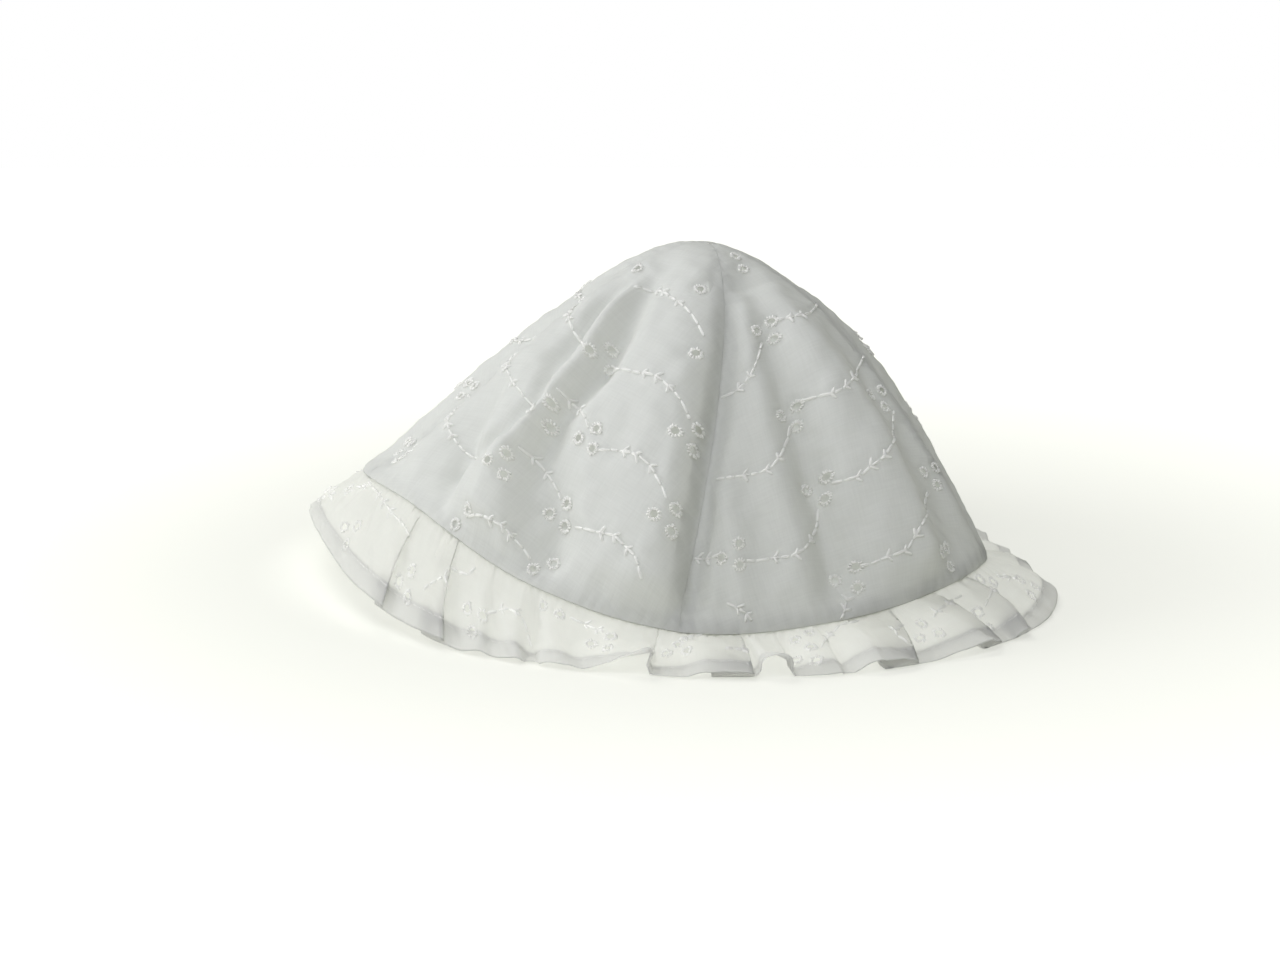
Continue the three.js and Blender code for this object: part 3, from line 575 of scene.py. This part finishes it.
def sew_stitch(work, start, end, width, height):
    """One straight stitch: a low rounded bar that dips into the cloth at both ends."""
    along = np.subtract(end, start)
    cross = np.array([-along[1], along[0]])
    cross = cross / max(np.hypot(*cross), 1e-9) * width / 2
    work["pulls"] += [start, np.add(start, along / 2), end]
    first = len(work["spots"])
    for share, full in STITCH_SECTIONS:
        half = cross * (STITCH_END + (1 - STITCH_END) * full)
        for side, lift in STITCH_CORNERS:
            work["spots"].append(np.add(start, along * share) + half * side)
            work["lifts"].append(height * full * lift - STITCH_DIP * (1 - full))
    count = len(STITCH_CORNERS)
    for ring in range(len(STITCH_SECTIONS) - 1):
        for k in range(count - 1):
            a = first + ring * count + k
            work["faces"].append((a, a + 1, a + count + 1, a + count))


def drawn_down(flat, work):
    """How far tight stitches pull the cloth down round them, at each spot of the flat cloth."""
    needle = KDTree(len(work["pulls"]))
    for k, spot in enumerate(work["pulls"]):
        needle.insert((spot[0], spot[1], 0), k)
    needle.balance()
    near = np.array([needle.find((x, y, 0))[2] for x, y in flat])
    return -PULL_DEPTH * np.exp(-(near / PULL_WIDTH) ** 2)


def sew_eyelet(work, centre, radius, random):
    """Satin stitches over the eyelet's cut edge, all round. One stitch is drawn for each two real
    ones, and each has its own length and height."""
    for k in range(EYELET_STITCHES):
        angle = 2 * np.pi * (k + random.uniform(-0.2, 0.2)) / EYELET_STITCHES
        spoke = np.array([np.cos(angle), np.sin(angle)])
        long = random.uniform(0.75, 1.35)
        start, end = centre + (radius - 0.15) * spoke, centre + (radius + long) * spoke
        sew_stitch(work, start, end, random.uniform(0.62, 0.85), random.uniform(0.45, 0.95))


def smooth_line(points, step):
    """Spots a step apart along a smooth curve through the points, with where the points fall on it."""
    points = np.array(points, float)
    ends = np.concatenate([[2 * points[0] - points[1]], points, [2 * points[-1] - points[-2]]])
    line = []
    for k in range(len(points) - 1):
        t = np.linspace(0, 1, LINE_STEPS, endpoint=k == len(points) - 2)[:, None]
        line.append(between(*ends[k:k + 4], t))
    line = np.concatenate(line)
    walked = np.concatenate([[0], np.cumsum(np.hypot(*np.diff(line, axis=0).T))])
    at = np.arange(0, walked[-1], step)
    spots = np.stack([np.interp(at, walked, line[:, k]) for k in (0, 1)], -1)
    return spots, walked[[LINE_STEPS * k for k in range(len(points) - 1)] + [-1]] / step


def sew_stem(work, points, random):
    """A stem of running stitches, with two or three pairs of leaves that open along it."""
    spots, passed = smooth_line(points, STEM_STEP)
    k = 0
    while k < len(spots) - 3:
        long = random.integers(5, 11)
        end = min(k + long, len(spots) - 1)
        sew_stitch(work, spots[k], spots[end], random.uniform(0.85, 1.15), random.uniform(0.6, 0.9))
        k = end + 1
    leaves = passed[2:5] if len(points) > 6 else passed[1:3]
    for place in leaves:
        k = int(min(place, len(spots) - 3))
        heading = np.arctan2(*(spots[k + 2] - spots[max(k - 2, 0)])[::-1])
        for turn in (-1, 1):
            angle = heading + turn * random.uniform(0.75, 1.05)
            long = random.uniform(2.3, 3.1)
            tip = spots[k] + long * np.array([np.cos(angle), np.sin(angle)])
            sew_stitch(work, spots[k], tip, random.uniform(0.8, 1.1), random.uniform(0.6, 0.9))


def embroider_gore(gore, centres):
    """All the stitches of a gore, and the flat spots, lifts and faces of those inside its seams."""
    work = {"spots": [], "lifts": [], "faces": [], "pulls": []}
    random = np.random.default_rng(60 + gore)
    for centre in centres:
        sew_eyelet(work, centre, EYELET_RADIUS, random)
    for row_gore, points in STEMS:
        if row_gore == gore:
            sew_stem(work, points, random)
    for middle in FLOWERS[gore] if gore in (1, 2, 3) else []:
        sew_stem(work, middle + np.array(PLAIN_STEM), random)
    spots, lifts, faces = (np.array(work[part]) for part in ("spots", "lifts", "faces"))
    slant, widths = SIZES[gore]
    reach = np.hypot(*spots.T)
    half = np.interp(reach / slant, SHARES, widths) / 2
    within = np.abs(np.arctan2(*spots.T) * reach) < half - STITCH_MARGIN
    within &= reach < slant - STITCH_MARGIN
    faces = faces[within[faces].all(axis=1)]
    used, faces = np.unique(faces, return_inverse=True)
    return spots[used], lifts[used], faces.reshape(-1, 4), work


eyelet_cotton = woven_cotton("eyelet_cotton_lawn", ("d6d8d8", "e2e4e4"), "f4f4ea", 0.38, 0.15)
satin_thread = mercerised_thread("white_satin_stitch", "fdfdfb")
for gore, name in enumerate(GORES):
    flat, faces, centres = cut_gore(gore)
    spots, lifts, quads, work = embroider_gore(gore, centres)
    sunk = on_gore(gore, flat, drawn_down(flat, work))
    cloth = make_piece(name + "_cloth", sunk, faces[:, ::-1], flat, eyelet_cotton)
    raised = on_gore(gore, spots, lifts)
    stitching = make_piece(name + "_embroidery", raised, quads[:, ::-1], spots, satin_thread)
    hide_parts(name)
    corners = flat[faces]

# The lining: plain white cotton lawn in the same five gores, sewn to the crown only at its edge, where
# it makes a pocket for the ruffle's allowance. It hangs free under the folds.
LINING_DEPTH, POCKET_DEPTH = 1.1, 2.3
POCKET_TOP, POCKET_FULL = 0.94, 0.965
# Over this last share of its slant it rises this far, to where it is sewn
SEWN_SHARE, SEWN_RISE = 0.012, 0.5
# Its seams hang lower: how far and how wide. Beside them it puckers: how high and how wide, and the
# puckers' length over two pi. Its wrinkles: how high and how far apart
SEAM_DROP, SEAM_DROP_WIDTH = 0.9, 6
LINING_PUCKER, LINING_PUCKER_WIDTH, LINING_PUCKER_LENGTH = 0.16, 5, 1.15
LINING_WRINKLE, LINING_SPACING = 0.3, 22
# About how wide a gore of it is at its edge, how long it is down its slant, and how far apart two
# spots of its edge are for each degree between them
LINING_GORE, LINING_SLANT, LINING_PER_DEGREE = 150, 160, 110 / 57


def lower_side(rises, turn, reach):
    """The lowest fold near each spot, eased out, as cloth spans it from underneath."""
    low = rises.copy()
    for k in range(-turn, turn + 1, 2):
        low = np.minimum(low, np.roll(rises, k, axis=0))
    padded = np.pad(low, ((0, 0), (reach, reach)), mode="edge")
    low = np.min([padded[:, k:k + rises.shape[1]] for k in range(2 * reach + 1)], axis=0)
    for _ in range(3):
        low = sum(np.roll(low, k, axis=0) for k in range(-6, 7, 2)) / 7
        padded = np.pad(low, ((0, 0), (4, 4)), mode="edge")
        low = np.mean([padded[:, k:k + rises.shape[1]] for k in range(9)], axis=0)
    return np.minimum(low, 0)


def across_gore(seam, part, share):
    """The azimuth a part of the way from a seam to the next one."""
    left, right = seam_azimuth(seam, share), seam_azimuth(seam + 1, share)
    return left + part * (right - left)


LOWEST = lower_side(fold_rises(FOLDS), 12, 5)
lining_shares = np.concatenate([np.linspace(0.012, 0.93, 96), np.linspace(0.938, 1.0, 14)])
parts = np.concatenate([[0, 0.008, 0.02], np.linspace(0.045, 0.955, 48), [0.98, 0.992]])
lining_turns = [(seam, part) for seam in range(5) for part in parts]
rows = []
for share in lining_shares:
    across = np.array([across_gore(seam, part, share) for seam, part in lining_turns])
    to_seam = np.array([min(part, 1 - part) for _, part in lining_turns]) * share * LINING_GORE
    down = np.full(len(across), share)
    depth = LINING_DEPTH - on_crown(LOWEST, across, down)
    depth += POCKET_DEPTH * smoothstep(down, POCKET_TOP, POCKET_FULL)
    wrinkles = waves(across * share * LINING_PER_DEGREE, down * LINING_SLANT, LINING_SPACING, 9, 71)
    depth += LINING_WRINKLE * wrinkles * smoothstep(down, 0.02, 0.3)
    depth += SEAM_DROP * np.exp(-(to_seam / SEAM_DROP_WIDTH) ** 2) * smoothstep(down, 0.0, 0.1)
    ripple = np.sin(share * LINING_SLANT / LINING_PUCKER_LENGTH) * smoothstep(to_seam, 0, 1.5)
    depth += LINING_PUCKER * np.exp(-to_seam / LINING_PUCKER_WIDTH) * ripple
    depth -= SEWN_RISE * np.exp(-((1 - share) / SEWN_SHARE) ** 2)
    rows.append(on_crown(CROWN, across, down) - on_crown(NORMALS, across, down) * depth[:, None])
count = len(lining_turns)
faces = []
for r in range(len(rows) - 1):
    for k in range(count):
        after = (k + 1) % count
        faces.append(((r + 1) * count + k, (r + 1) * count + after, r * count + after, r * count + k))
top = len(rows) * count
faces += [(k, (k + 1) % count, top) for k in range(count)]
points = np.concatenate(rows + [rows[0].mean(axis=0)[None]])
down = np.append(np.repeat(lining_shares, count) * LENGTHS.mean(), 0.0)
turn = np.append(np.tile(np.arange(count) / count * 2 * np.pi, len(rows)), 0.0)
flat = np.stack([down * np.sin(turn), down * np.cos(turn)], -1)
lining_cotton = woven_cotton("lining_cotton_lawn", ("dcdede", "e6e8e8"), "f6f7f5", 0.56, 0.3)
lining = make_piece("lining_cloth", points, faces, flat, lining_cotton)
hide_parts("lining")

# The ruffle: one long strip of the same eyelet cotton, gathered and sewn between crown and lining. It
# is a single layer, so light comes through it, and its edge is turned under twice and stitched.

# Fold lines of the gathered strip: azimuths at the seam and at the hem, then how far the cloth stands
# off the plain slope half way down and at the hem, and how far the hem reaches out past it
FRONT_FOLDS = [
    (-104, -108, -0.5, -1.0, 0), (-97, -99, 1.0, 2.0, -1), (-90, -91, 0.4, 1.6, -2),
    (-83, -80, 0.8, 3.0, -4), (-78, -71, 2.4, 4.6, -4.5), (-72, -64.5, 0.0, 2.6, -3),
    (-66, -58, 1.2, 3.0, -1.5), (-57.6, -49.6, 2.4, 4.0, -0.5), (-56.6, -48.6, 1.6, 3.0, 0),
    (-59.4, -51.4, 0.2, 1.6, 0), (-55, -46.6, 0.0, 1.0, 0), (-50, -41.4, 1.4, 2.2, 0),
    (-46.2, -37, 2.4, 3.4, 0), (-45.4, -36.2, 1.6, 2.4, 0), (-50, -41, 0.0, 0.6, 0),
    (-44, -34.8, -0.6, 0.0, 0), (-40, -32, 0.6, 1.2, 0), (-36.8, -29.6, 2.0, 2.6, -1),
    (-35.2, -28, -0.4, 0.4, -1), (-29.5, -24, 1.6, 2.8, -1), (-26.8, -21.9, -3.6, -1.6, -2),
    (-24.0, -19.0, 0.5, 3.4, -1), (-17, -14.0, -1.2, 2.4, -1), (-11.5, -11, 1.0, 4.0, -2),
    (-7.0, -6.6, 0.8, 9.0, -3), (-4.7, -4.5, 0.2, 10.0, -3), (-4.4, -5.0, -2.0, 3.0, -2),
    (-3.4, -4.0, -1.0, 0.3, -1), (0.0, -0.4, 1.2, 0.4, 0), (3.4, 3.2, 3.6, 3.0, 0),
    (8.2, 8.0, 2.6, 2.6, 0), (9.0, 8.8, 1.8, 2.0, 0), (3.9, 3.7, -0.9, 0.6, -1),
    (4.6, 4.4, -1.3, 0.3, -1), (9.6, 9.2, -1.2, 1.0, -1), (10.9, 10.1, 2.4, 6.6, -2),
    (12.7, 12.1, 1.6, 9.0, -2), (14.6, 13.9, 0.4, 6.6, -2), (15.5, 14.4, -1.2, 0.4, -1),
    (18.5, 17.6, 1.8, 1.2, 0), (21.0, 20.4, 1.6, 1.4, 0), (22.0, 21.2, -0.4, 0.2, 0),
    (25.6, 25.2, 4.6, 5.0, 0), (26.8, 26.2, 4.2, 4.6, 0), (31.0, 28.6, 2.8, 3.8, 0),
    (34.6, 30.2, 2.2, 2.6, 0), (35.2, 30.8, 1.4, 2.0, 0), (27.6, 26.6, -1.0, 0.6, 0),
    (28.2, 27.0, -1.5, 0.3, 0), (34.2, 31.4, -1.2, 0.4, 0), (36.6, 35.5, 0.8, 1.8, 0),
    (39.2, 41.8, 3.8, 5.2, 1), (40.0, 43.0, 3.8, 5.0, 1), (44.6, 44.4, 2.6, 2.8, 0.5),
    (45.4, 45.2, 1.8, 2.2, 0), (41.0, 42.4, -1.0, 0.6, 0), (41.6, 42.8, -1.5, 0.3, 0),
    (46.0, 45.6, -0.9, 0.4, 0), (50.0, 47.6, 0.6, 1.0, 0), (54.4, 50.4, 3.8, 4.6, 1),
    (55.4, 51.0, 3.0, 3.8, 1), (52.0, 48.4, -0.9, 0.6, 0), (58.5, 53.2, -1.2, 0.3, 0),
    (66, 61.5, 1.2, 1.2, 0), (73.5, 71.0, 2.8, 3.8, 0), (79.0, 78.0, -1.8, -0.6, 0),
]
# Round the back the gathers lie more evenly: azimuth, rise of the crest over its valleys, lean
BACK_GATHERS = [
    (85, 7, 2), (95, 6, -2), (106, 7, -3), (118, 8, 2), (131, 10, 3), (143, 8, -2), (156, 9, -3), (168, 7, 3),
    (181, 10, 3), (194, 8, -2), (207, 9, -3), (220, 7, 2), (233, 8, 2), (245, 6, -2),
]
# How far a crest and a valley stand off the plain slope half way down and at the hem, as shares of
# that rise, and how far a crest's hem is pushed sideways, in degrees for each unit of lean
CREST, VALLEY, LEAN = (0.28, 0.45), (-0.3, -0.5), 0.42
# The strip bows out by this, and is sewn in this far under the crown's outer skin
RUFFLE_BOW, RUFFLE_DEPTH_IN_SEAM = 1.0, 2.0
HEM, HEM_TURN, RUFFLE_ALLOWANCE = 7.0, 2.5, 5.0
# Stations between two fold lines, and from the seam to the hem
FOLD_STEPS, WIDTH_STEPS = 20, 40

fold_lines = []
for k, (azimuth, rise, lean) in enumerate(BACK_GATHERS):
    after = BACK_GATHERS[k + 1][0] if k + 1 < len(BACK_GATHERS) else 255
    fold_lines.append((azimuth, azimuth + lean * LEAN, CREST[0] * rise, CREST[1] * rise, 0))
    fold_lines.append(((azimuth + after) / 2, (azimuth + after) / 2, VALLEY[0] * rise, VALLEY[1] * rise, 0))
FOLD_LINES = np.array(fold_lines + [(a + 360, b + 360, c, d, e) for a, b, c, d, e in FRONT_FOLDS])
FOLD_LINES[:, :2] -= FOLD_LINES[0, 0]


def fold_line(number):
    """A fold line's five values. The numbers go on past the last one, once more round the hat."""
    once_round = np.array([360, 360, 0, 0, 0])
    return FOLD_LINES[number % len(FOLD_LINES)] + (number // len(FOLD_LINES))[:, None] * once_round


def ruffle_rows(numbers, shares):
    """The gathered strip, as a smooth closed curve through the fold lines, and its width. A number
    between two fold lines is a place between them."""
    row = np.floor(numbers).astype(int)
    lines = between(*(fold_line(row + k) for k in (-1, 0, 1, 2)), (numbers - row)[:, None])
    at_seam, at_hem, middle, low, reach = lines.T
    at_seam, at_hem = at_seam + BACK_GATHERS[0][0], at_hem + BACK_GATHERS[0][0]
    share = shares[None, :]
    azimuth = at_seam[:, None] + (at_hem - at_seam)[:, None] * share
    sewn_depth = np.full(azimuth.shape, RUFFLE_DEPTH_IN_SEAM)
    seam = crown_cloth(azimuth, np.ones(azimuth.shape), sewn_depth)
    hem = ring_point(azimuth, 3, 4)
    along = unit(hem - seam)
    sideways = np.stack([np.cos(np.radians(azimuth)), np.sin(np.radians(azimuth)), 0 * azimuth], -1)
    up = unit(np.cross(along, sideways))
    up *= np.sign(up[..., 2:])
    lift = middle[:, None] * 4 * share * (1 - share) + low[:, None] * share * (2 * share - 1)
    lift = lift + RUFFLE_BOW * np.sin(np.pi * share)
    points = seam * (1 - share[..., None]) + hem * share[..., None]
    points = points + up * lift[..., None] + along * (reach[:, None] * share ** 2)[..., None]
    return points, np.linalg.norm(hem - seam, axis=-1)[:, -1]


FOLD_NUMBERS = np.arange(len(FOLD_LINES) * FOLD_STEPS + 1) / FOLD_STEPS
closed_strip, strip_widths = ruffle_rows(FOLD_NUMBERS, np.linspace(0, 1, WIDTH_STEPS + 1))
RUFFLE_WIDTH = float(strip_widths.mean())
SEAM_AZIMUTHS = np.degrees(np.unwrap(np.arctan2(closed_strip[:, 0, 0], -closed_strip[:, 0, 1])))
# The strip's length is measured along this station, about two thirds of the way to the hem
MEASURED_AT = 28
walk = np.linalg.norm(np.diff(closed_strip[:, MEASURED_AT], axis=0), axis=-1)
WALKED = np.concatenate([[0], np.cumsum(walk)])
RUFFLE_LENGTH = float(WALKED[-1])
RUFFLE = closed_strip[:-1]
along = np.roll(RUFFLE, -1, axis=0) - np.roll(RUFFLE, 1, axis=0)
RUFFLE_NORMALS = unit(np.cross(along, np.gradient(RUFFLE, axis=1)))
RUFFLE_NORMALS *= np.sign(RUFFLE_NORMALS[:, :, 2].mean())


# The strip's two ends lap under it by these depths, and its hem's two turned layers lie lower by
# these. The slant of the crown over its allowance is about this long
START_LAP, END_LAP = 0.5, 0.9
FIRST_LAYER, SECOND_LAYER = 0.55, 0.4
TUCKED_SLANT = 160
# The gathers' puckers: how far apart, over what length that drifts, how high and how wide
GATHER_SPACING, GATHER_DRIFT, GATHER_RISE, GATHER_WIDTH = 4.6, 41, 0.45, 6
# The hem's stitching draws the cloth in: where above its fold, how deep and how wide
STITCH_LINE, STITCH_DEPTH, STITCH_WIDTH = 0.8, 0.25, 0.9
BROAD_CRUMPLE, FINE_CRUMPLE = 0.3, 0.14
# The cloth's middle stays this far above the surface that the hat stands on
ABOVE_FLOOR = 0.95


def on_ruffle(flat, lift):
    """Where a spot of the flat strip lies: u mm along it and down mm from its seam."""
    u, down = flat[:, 0], flat[:, 1]
    lap = np.where(u < 0, START_LAP, 0) + np.where(u > RUFFLE_LENGTH, END_LAP, 0)
    number = np.interp(np.mod(u, RUFFLE_LENGTH), WALKED, FOLD_NUMBERS)
    past_hem = np.maximum(down - RUFFLE_WIDTH, 0)
    second = np.maximum(past_hem - HEM, 0)
    place = down - 2 * past_hem + 2 * second
    layer = FIRST_LAYER * smoothstep(past_hem, 0, 0.9) + SECOND_LAYER * smoothstep(second, 0, 0.9)
    share = np.clip(place / RUFFLE_WIDTH, 0, 1)
    row, column = number * FOLD_STEPS, share * WIDTH_STEPS
    point, normal = in_table(RUFFLE, row, column), unit(in_table(RUFFLE_NORMALS, row, column))
    azimuth = np.interp(number, FOLD_NUMBERS, SEAM_AZIMUTHS)
    in_seam = np.clip(1 - np.maximum(-down, 0) / TUCKED_SLANT, 0, 1)
    tucked = crown_cloth(azimuth, in_seam, np.full(len(u), RUFFLE_DEPTH_IN_SEAM))
    point = np.where((down < 0)[:, None], tucked, point)
    turns = u / GATHER_SPACING + 0.6 * waves(u, u * 0, GATHER_DRIFT, 3, 81)
    pucker = GATHER_RISE * np.exp(-np.maximum(place, 0) / GATHER_WIDTH) * np.sin(2 * np.pi * turns)
    pucker *= smoothstep(place, -3, 1.5)
    off_line = RUFFLE_WIDTH - place - HEM + STITCH_LINE
    stitched = STITCH_DEPTH * np.exp(-(off_line / STITCH_WIDTH) ** 2) * (1 - smoothstep(past_hem, 0, 1))
    rough = BROAD_CRUMPLE * waves(u, place, 13, 9, 82) * smoothstep(place, 0, 6)
    rough += FINE_CRUMPLE * waves(u, place, 5.5, 9, 83)
    point = point + normal * (lift + pucker + rough - stitched - layer - lap)[:, None]
    lowest = ABOVE_FLOOR - layer * 0.85 + np.maximum(lift, 0)
    point[:, 2] = np.maximum(point[:, 2], lowest)
    return point


# Flowers of the strip, as mm along it and down from its seam, with how far each is turned
RUFFLE_FLOWERS = [
    (517, 20, 0), (577, 20, 10), (636, 20, -38), (672, 3.5, 20), (691, 16, 0), (722, 14, 30), (802, 20, 0),
    (803, 5, 50), (884, 17, 15), (930, 18, -20), (973, 4, 0), (992, 19, 30),
]
# Round the back they repeat every 29 mm, high and low in turn
FRONT_FLOWERS = len(RUFFLE_FLOWERS)
RUFFLE_FLOWERS += [(u, 7 + 13 * (k % 2), 25 * (k % 3)) for k, u in enumerate(np.arange(22, 490, 29.0))]
RUFFLE_STEMS = [
    [(499, 1), (509, 2), (519, 3), (528, 4.2), (537, 5.6), (553, 7), (566, 11)],
    [(588, 19), (593, 15), (598, 12.6), (607, 9.6), (618, 8.6), (629, 8), (634, 3)],
    [(642, 16), (648, 12.6), (654, 11.8), (658, 14), (661, 19), (663, 23)],
    [(679, 6), (684, 6), (688, 8), (691, 10)], [(732, 1), (728, 3), (725, 6), (723, 9)],
    [(739, 17), (745, 16.5), (752, 15), (760, 10), (768, 8), (776, 8)],
    [(808, 16), (812, 11), (816, 8), (822, 5), (832, 3)],
    [(842, 22), (839, 18), (839, 14), (846, 11), (854, 9.4), (864, 9), (875, 12)],
    [(892, 13), (898, 10.6), (905, 9), (912, 7.6), (920, 6.4), (935, 6.2)],
    [(937, 15), (945, 12), (954, 11), (962, 9)], [(991, 14), (988, 11), (984, 8.6), (980, 7)],
]
RUFFLE_STEMS += [[(u + 6, down - 1), (u + 12, down - 3), (u + 17, down - 3.5), (u + 22, down - 2)]
                 for u, down, _ in RUFFLE_FLOWERS[FRONT_FLOWERS:]]
# No eyelet's middle is nearer the seam than this, and each has this many sides
TOP_EYELET, RUFFLE_EYELET_SIDES = 3.5, 16
# Each end of the strip goes on this far past where the two meet. Its points lie this far apart
END_OVERLAP, COLUMN_STEP = 5, 1.3
# The flat strip's rows of points: in its allowance, down to the hem's fold, then past it
columns = np.linspace(-END_OVERLAP, RUFFLE_LENGTH + END_OVERLAP, int(RUFFLE_LENGTH / COLUMN_STEP))
past_fold = np.array([0.35, 0.9, 2.2, 3.8, 5.4, HEM - 0.5, HEM, HEM + 0.5, HEM + HEM_TURN])
body = np.concatenate([np.linspace(0, 0.62, 18), np.linspace(0.65, 1.0, 14)])
allowance = -np.array([RUFFLE_ALLOWANCE, 4.0, 2.0, 0.8])
downs = np.concatenate([allowance, RUFFLE_WIDTH * body, RUFFLE_WIDTH + past_fold])
points = np.concatenate([np.stack([columns, np.full(len(columns), down)], -1) for down in downs])
centres = []
for u, down, turn in RUFFLE_FLOWERS:
    for angle in np.radians([turn, turn + 120, turn + 240]):
        centres.append([u - EYELET_SPREAD * np.cos(angle), down + EYELET_SPREAD * np.sin(angle)])
centres = np.array(centres)
centres = centres[centres[:, 1] > TOP_EYELET]
points = points[clear_of(centres, points, EYELET_RADIUS + EYELET_CLEAR)]
flat, faces, middles = cut_cloth(points, [circle(c, EYELET_RADIUS, RUFFLE_EYELET_SIDES) for c in centres])
inside = (middles[:, 1] > -RUFFLE_ALLOWANCE) & (middles[:, 1] < RUFFLE_WIDTH + HEM + HEM_TURN)
inside &= clear_of(centres, middles, EYELET_RADIUS * EYELET_CUT)
faces = faces[inside]
# The same eyelet cotton as the crown's, with painted light: a lighter face and more light let through than
# the crown's copy, for the brighter light it gets. Its hem is painted greyer
ruffle_cotton_painted_light = woven_cotton("ruffle_cotton_lawn_painted_light", ("e6e7e6", "f0f1f0"), "fefefb", 0.70, 0.15,
                             (RUFFLE_WIDTH - HEM, "f4f4f2"))
strip_cloth = make_piece("ruffle_cloth", on_ruffle(flat, np.zeros(len(flat))), faces, flat, ruffle_cotton_painted_light)
work = {"spots": [], "lifts": [], "faces": [], "pulls": []}
random = np.random.default_rng(90)
for centre in centres:
    sew_eyelet(work, centre, EYELET_RADIUS, random)
for stem in RUFFLE_STEMS:
    sew_stem(work, stem, random)
# The hem's machine stitches: one each 2.9 mm, 2.2 mm long, 0.4 mm wide and 0.2 mm high
for u in np.arange(0, RUFFLE_LENGTH - 2, 2.9):
    start = np.array([u, RUFFLE_WIDTH - HEM + STITCH_LINE])
    sew_stitch(work, start, start + np.array([2.2, 0.0]), 0.4, 0.2)
spots, lifts, quads = (np.array(work[part]) for part in ("spots", "lifts", "faces"))
stitching = make_piece("ruffle_embroidery", on_ruffle(spots, lifts), quads, spots, satin_thread)
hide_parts("ruffle")

# A plain pale matt floor with a painted glow of its own. The glow is dimmer under and round the hat, as
# painted shade, and brighter further off, so that the floor goes over into the white room behind it.
FLOOR_HALF = 1.2
floor_paint, tree = new_material("pale_floor_painted_glow")
place = add_node(tree, "ShaderNodeTexCoord").outputs["Object"]
away = add_node(tree, "ShaderNodeVectorMath", {0: place, 1: (-0.02, 0, 0)}, operation="DISTANCE")
painted_glow = add_node(tree, "ShaderNodeMapRange", {
    "Value": away.outputs["Value"], "From Min": 0.14, "From Max": 0.38, "To Min": 0.49, "To Max": 0.82})
painted_far_glow = add_node(tree, "ShaderNodeMapRange", {
    "Value": away.outputs["Value"], "From Min": 0.40, "From Max": 1.0, "To Min": 0.0, "To Max": 0.16})
glow = add_node(tree, "ShaderNodeMath", {
    0: painted_glow.outputs["Result"], 1: painted_far_glow.outputs["Result"]}, operation="ADD")
paint = add_node(tree, "ShaderNodeBsdfPrincipled", {
    "Base Color": linear("b0b1aa"), "Roughness": 0.9, "Emission Color": linear("fefff8"),
    "Emission Strength": glow.outputs[0]})
add_node(tree, "ShaderNodeOutputMaterial", {"Surface": paint.outputs[0]})
mesh = bpy.data.meshes.new("floor")
corners = [(FLOOR_HALF * x, FLOOR_HALF * y, 0) for x, y in ((-1, -1), (1, -1), (1, 1), (-1, 1))]
mesh.from_pydata(corners, [], [(0, 1, 2, 3)])
mesh.materials.append(floor_paint)
floor = bpy.data.objects.new("floor", mesh)
bpy.context.scene.collection.objects.link(floor)

# The studio: a white room that adds little light of its own, and three square softboxes, one in front
# and above, one behind and above on the left, and one low on the left.
world = bpy.data.worlds.new("white_studio")
bpy.context.scene.world = world
world.use_nodes = True
tree = world.node_tree
tree.nodes.clear()
rays = add_node(tree, "ShaderNodeLightPath")
room = add_node(tree, "ShaderNodeBackground", {"Color": linear("ffffff"), "Strength": 0.04})
white = add_node(tree, "ShaderNodeBackground", {"Color": linear("ffffff"), "Strength": 1.0})
seen = add_node(tree, "ShaderNodeMixShader", {
    0: rays.outputs["Is Camera Ray"], 1: room.outputs[0], 2: white.outputs[0]})
add_node(tree, "ShaderNodeOutputWorld", {"Surface": seen.outputs[0]})
bpy.context.scene.view_settings.view_transform = "Standard"

# name, place, width, watts, colour. Each faces a spot inside the hat
SOFTBOXES = [
    ("softbox_front_top", (-0.12, -0.82, 1.10), 0.8, 9.9, "f8f8fd"),
    ("softbox_back_top_left", (-0.6, 0.5, 1.2), 0.8, 8.6, "fffffb"),
    ("softbox_left", (-1.2, -0.1, 0.5), 0.8, 7.4, "fdfcff"),
]
LIT_SPOT = np.array([0, 0, 0.05])
for name, place, size, power, tint in SOFTBOXES:
    light = bpy.data.lights.new(name, "AREA")
    light.shape, light.size, light.energy = "SQUARE", size, power
    light.color = linear(tint)[:3]
    lamp = bpy.data.objects.new(name, light)
    lamp.location = place
    x, y, z = np.array(place) - LIT_SPOT
    lamp.rotation_euler = (np.arctan2(np.hypot(x, y), z), 0, np.arctan2(y, x) + np.pi / 2)
    bpy.context.scene.collection.objects.link(lamp)

# The camera stands about a metre in front of the hat and looks down on it by 14 degrees.
view = bpy.data.cameras.new("camera")
view.lens, view.sensor_width, view.sensor_fit = 73.125, 36, "HORIZONTAL"
camera = bpy.data.objects.new("camera", view)
camera.location = (-0.0123, -0.962815, 0.272147)
camera.rotation_euler = (np.radians(76), 0, 0)
bpy.context.scene.collection.objects.link(camera)
bpy.context.scene.camera = camera
